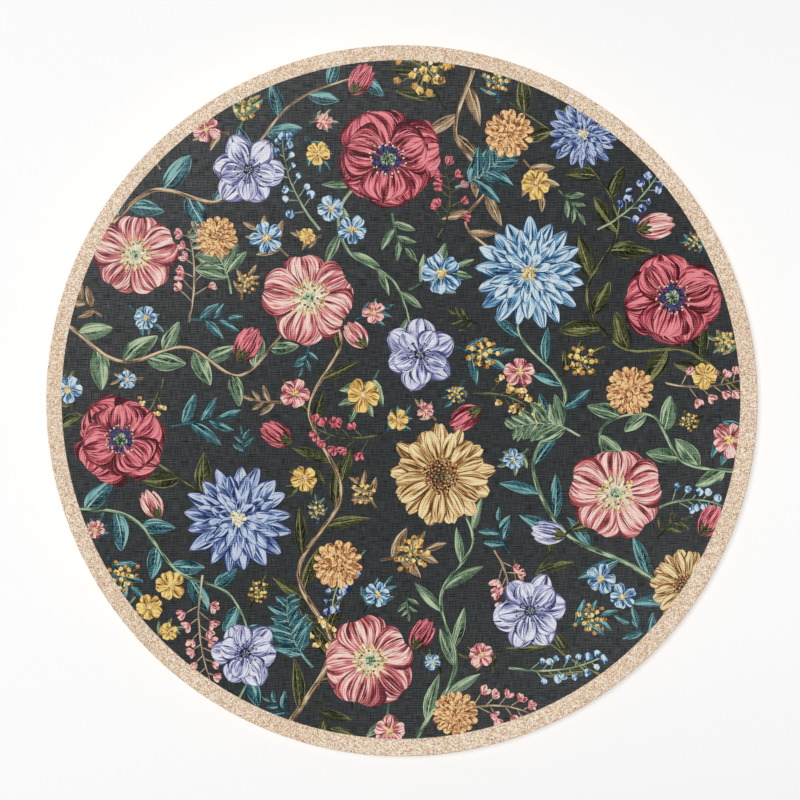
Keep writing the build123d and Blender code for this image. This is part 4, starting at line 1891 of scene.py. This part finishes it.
@dataclass(frozen=True)
class Plating:
    """Plated steel: a fine drawn grain, a slight cloudiness, and dulled scratches."""

    name: str
    colour: Rgb
    dull: Rgb
    roughness: float = 0.32
    grain: tuple[float, float, float] = (3.0, 3.0, 0.15)

    def material(self, marks: Marks) -> Material:
        """The plating's material."""
        material, graph = new_material(self.name)
        place = graph.position()
        scratches = marks.effect.use(graph, place)["Scratches"]
        grain = place.scaled(*self.grain).noise(1.0, 3.0, 0.6)
        cloud = place.noise(0.35, 3.0, 0.6).ramp(0.35, 0.65, 0.0, 0.5)
        colour = graph.mix(cloud, self.colour, self.dull).mixed(scratches * 0.3, self.dull)
        rough = grain.ramp(0.3, 0.7, -0.07, 0.07) + scratches * 0.12 + self.roughness
        graph.surface(grain, 0.01, 0.5, colour, rough, Metallic=1.0)
        return material


@dataclass(frozen=True)
class Fibreboard:
    """Smooth brown fibreboard: fine fibres, slow blotches, and a darker sawn rim of that radius."""

    rim: float
    base: Rgb = (171, 137, 101)
    dark: Rgb = (141, 107, 74)
    pale: Rgb = (196, 165, 128)
    roughness: float = 0.72
    gloss: float = 0.3

    def material(self, marks: Marks) -> Material:
        """The fibreboard's material."""
        material, graph = new_material("fibreboard")
        place = graph.position()
        worn = marks.effect.use(graph, place)
        fibres = place.scaled(1.0, 2.0, 1.0).noise(1.3, 5.0, 0.72)
        colour = graph.mix(fibres.ramp(0.36, 0.64), self.dark, self.base)
        colour = colour.mixed(place.noise(0.02, 3.0, 0.55).ramp(0.3, 0.7, 0.0, 0.22), self.pale)
        colour = colour.mixed(place.cells(0.8).ramp(0.9, 0.97, 0.0, 0.35), self.dark)
        colour = colour.mixed(worn["Dust"] * 0.12, self.pale)
        radius = place.scaled(1.0, 0.0, 1.0).vector("LENGTH")
        colour = colour.mixed(radius.ramp(self.rim - 0.8, self.rim - 0.3, 0.0, 0.4), self.dark)
        rough = worn["Smudges"].ramp(0.0, 1.0, self.roughness, self.roughness - 0.1)
        graph.surface(fibres, 0.06, 0.5, colour, rough, Specular_IOR_Level=self.gloss)
        return material


@dataclass(frozen=True)
class Rubber:
    """Matt dark rubber with a fine grain, greyer where dust has settled."""

    base: Rgb = (44, 44, 47)
    dusty: Rgb = (104, 102, 98)
    roughness: float = 0.7

    def material(self, marks: Marks) -> Material:
        """The rubber's material."""
        material, graph = new_material("bumper rubber")
        place = graph.position()
        worn = marks.effect.use(graph, place)
        colour = graph.mix(worn["Dust"] * 0.3, self.base, self.dusty)
        rough = worn["Smudges"].ramp(0.0, 1.0, self.roughness, self.roughness + 0.15)
        graph.surface(place.noise(5.0, 3.0, 0.6), 0.02, 0.4, colour, rough)
        return material


@dataclass
class Hardware:
    """Finishes of the parts that keep their CAD shape."""

    zinc: Plating = Plating("zinc plate", (158, 160, 160), (128, 130, 129), 0.36)
    nickel: Plating = Plating("nickel plate", (201, 197, 190), (172, 168, 160), 0.2, (4.0, 4.0, 4.0))
    screw: Plating = Plating("screw zinc", (180, 178, 170), (146, 144, 136), 0.3, (4.0, 0.6, 4.0))
    rubber: Rubber = Rubber()

    def build(self) -> None:
        """Gives each CAD node that is shown its material."""
        marks = Marks()
        finishes = {
            "backing_board": Fibreboard(Disc.of("backing_board").radius).material(marks),
            "hanger_strap": self.zinc.material(marks),
            "hanger_ring": self.nickel.material(marks),
            "hanger_screw": self.screw.material(marks),
            "bumper": self.rubber.material(marks),
        }
        for node in bpy.data.objects:
            if "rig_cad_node" not in node or node.hide_render:
                continue
            for start, material in finishes.items():
                if node.name.startswith(start):
                    for slot in node.material_slots:
                        slot.material = material
                    log.info("node: %s takes %s", node.name, material.name)


@dataclass(frozen=True)
class Lamp:
    """A lamp away in one direction, that looks as wide as its spread in degrees.

    Its level is how brightly it lights a white surface that faces it, 1 for white.
    """

    name: str
    away: tuple[float, float, float]
    level: float
    spread: float = 20.0

    def build(self) -> None:
        """Hangs the lamp three metres off. A sun of pi lights a surface that faces it to white."""
        data = bpy.data.lights.new(self.name, "SUN")
        data.energy = self.level * pi
        data.angle = radians(self.spread)
        lamp = linked(self.name, data)
        lamp.rotation_mode = "QUATERNION"
        lamp.rotation_quaternion = Vector(self.away).to_track_quat("Z", "Y")
        lamp.location = Vector(self.away).normalized() * 3


@dataclass
class Room:
    """White wall behind the board, soft daylight from the upper left, and a camera straight on.

    Attributes:
        board: outline of the board.
        wall_depth: where the wall is, behind the bumpers.
        span: side of the wall.
        margin: width of the board's plane that the camera sees, over the board's own.
        aim: what the camera looks at, in x and z.
        lens: focal length.
        sensor: width of the camera's sensor.
        soft: even light from all round, 1 for white.
        lamps: the first two show the board and its shadow.
    """

    board: Disc
    wall_depth: float
    span: float = 8000.0
    margin: float = 1.12375
    aim: Pair = (-1.04, 0.42)
    lens: float = 200.0
    sensor: float = 36.0
    soft: float = 0.16
    lamps: tuple[Lamp, ...] = (
        Lamp("window", (-0.16, -1.0, 0.0925), 0.36, 15.0),
        Lamp("front", (-0.02, -1.0, 0.015), 0.475, 5.0),
        Lamp("rear", (-0.5, 1.0, 0.7), 0.5, 12.0),
        Lamp("rear fill", (0.15, 1.0, -0.05), 0.15, 60.0),
        Lamp("left side", (-1.0, 0.25, 0.1), 0.28),
        Lamp("right side", (1.0, 0.25, -0.1), 0.14),
        Lamp("top side", (0.1, 0.25, 1.0), 0.28),
        Lamp("bottom side", (-0.1, 0.25, -1.0), 0.12),
    )

    def wall(self) -> None:
        """A plain white wall that only shows from the front and sends no light back.

        Its colour is 0.987 less 0.0045 x, and less z^2 * (0.041 + 0.0195 x - 0.0065 z), where x and
        z run from -1.2 to 1.2 over a little more than the board: painted light falloff, darker towards
        the right and towards the bottom and, less so, the top.
        """
        half = self.span / 2
        corners = np.array([[-half, 0, -half], [half, 0, -half], [half, 0, half], [-half, 0, half]])
        mesh = bpy.data.meshes.new("wall")
        mesh.from_pydata(((corners + [0, self.wall_depth, 0]) * MM).tolist(), [], [(0, 1, 2, 3)])
        wall = linked("wall", mesh)
        wall.visible_shadow = False
        wall.visible_diffuse = False
        wall.visible_glossy = False
        material, graph = new_material("wall paint")
        x, _, z = graph.position().split()
        edge = 1.35 * self.board.radius
        x, z = (axis.ramp(-edge, edge, -1.2, 1.2, "LINEAR") for axis in (x, z))
        # painted light falloff: darker towards the right and towards the bottom and top
        tone = z * z * (x * -0.0195 + z * 0.0065 - 0.041) - x * 0.0045 + 0.987
        paint_and_painted_falloff = graph.add("BsdfDiffuse", Color=graph.joined(tone, tone, tone))
        behind = graph.add("NewGeometry").outputs["Backfacing"]
        graph.show(graph.blend(behind, paint_and_painted_falloff, graph.add("BsdfTransparent")))
        mesh.materials.append(material)

    def world(self) -> None:
        """Even pale light from all round, and white behind everything that is seen or mirrored."""
        world = bpy.data.worlds.new("studio")
        bpy.context.scene.world = world
        world.use_nodes = True
        world.node_tree.nodes.clear()
        graph = Graph(world.node_tree)
        path = graph.add("LightPath")
        seen = Signal(graph, path.outputs["Is Camera Ray"])
        for kind in ("Is Glossy Ray", "Is Transmission Ray"):
            seen = seen.math("MAXIMUM", path.outputs[kind])
        levels = (self.soft, 1.0)
        soft, white = (graph.add("Background", Color=(1.0,) * 4, Strength=level) for level in levels)
        graph.show(graph.blend(seen, soft, white), "OutputWorld")

    def camera(self) -> None:
        """A long lens straight in front."""
        data = bpy.data.cameras.new("camera")
        data.lens = self.lens
        data.sensor_width = self.sensor
        data.clip_end = 50.0
        camera = linked("camera", data)
        distance = 2 * self.board.radius * self.margin * self.lens / self.sensor
        camera.location = Vector((self.aim[0], -distance, self.aim[1])) * MM
        camera.rotation_euler = (pi / 2, 0.0, 0.0)
        bpy.context.scene.camera = camera

    def build(self) -> None:
        """Sets up the whole room."""
        self.wall()
        self.world()
        self.camera()
        for lamp in self.lamps:
            lamp.build()
            log.info("lamp: %s", lamp.name)


def main() -> None:
    """Builds the board's pieces in order, then the room."""
    logging.basicConfig(level=logging.INFO, format="%(message)s")
    bpy.context.scene.view_settings.view_transform = "Standard"
    cloth = Disc.of("printed_cloth")
    cork = Disc.of("cork_sheet")
    painted_sheen = PaintedSheen()
    PrintedCloth(cloth, LinenPrint()).build(painted_sheen)
    CorkSheet(cork, cloth.radius, Cork()).build(painted_sheen)
    Hardware().build()
    Room(cork, cad_bounds[1][1] / MM).build()


if __name__ == "__main__":
    main()
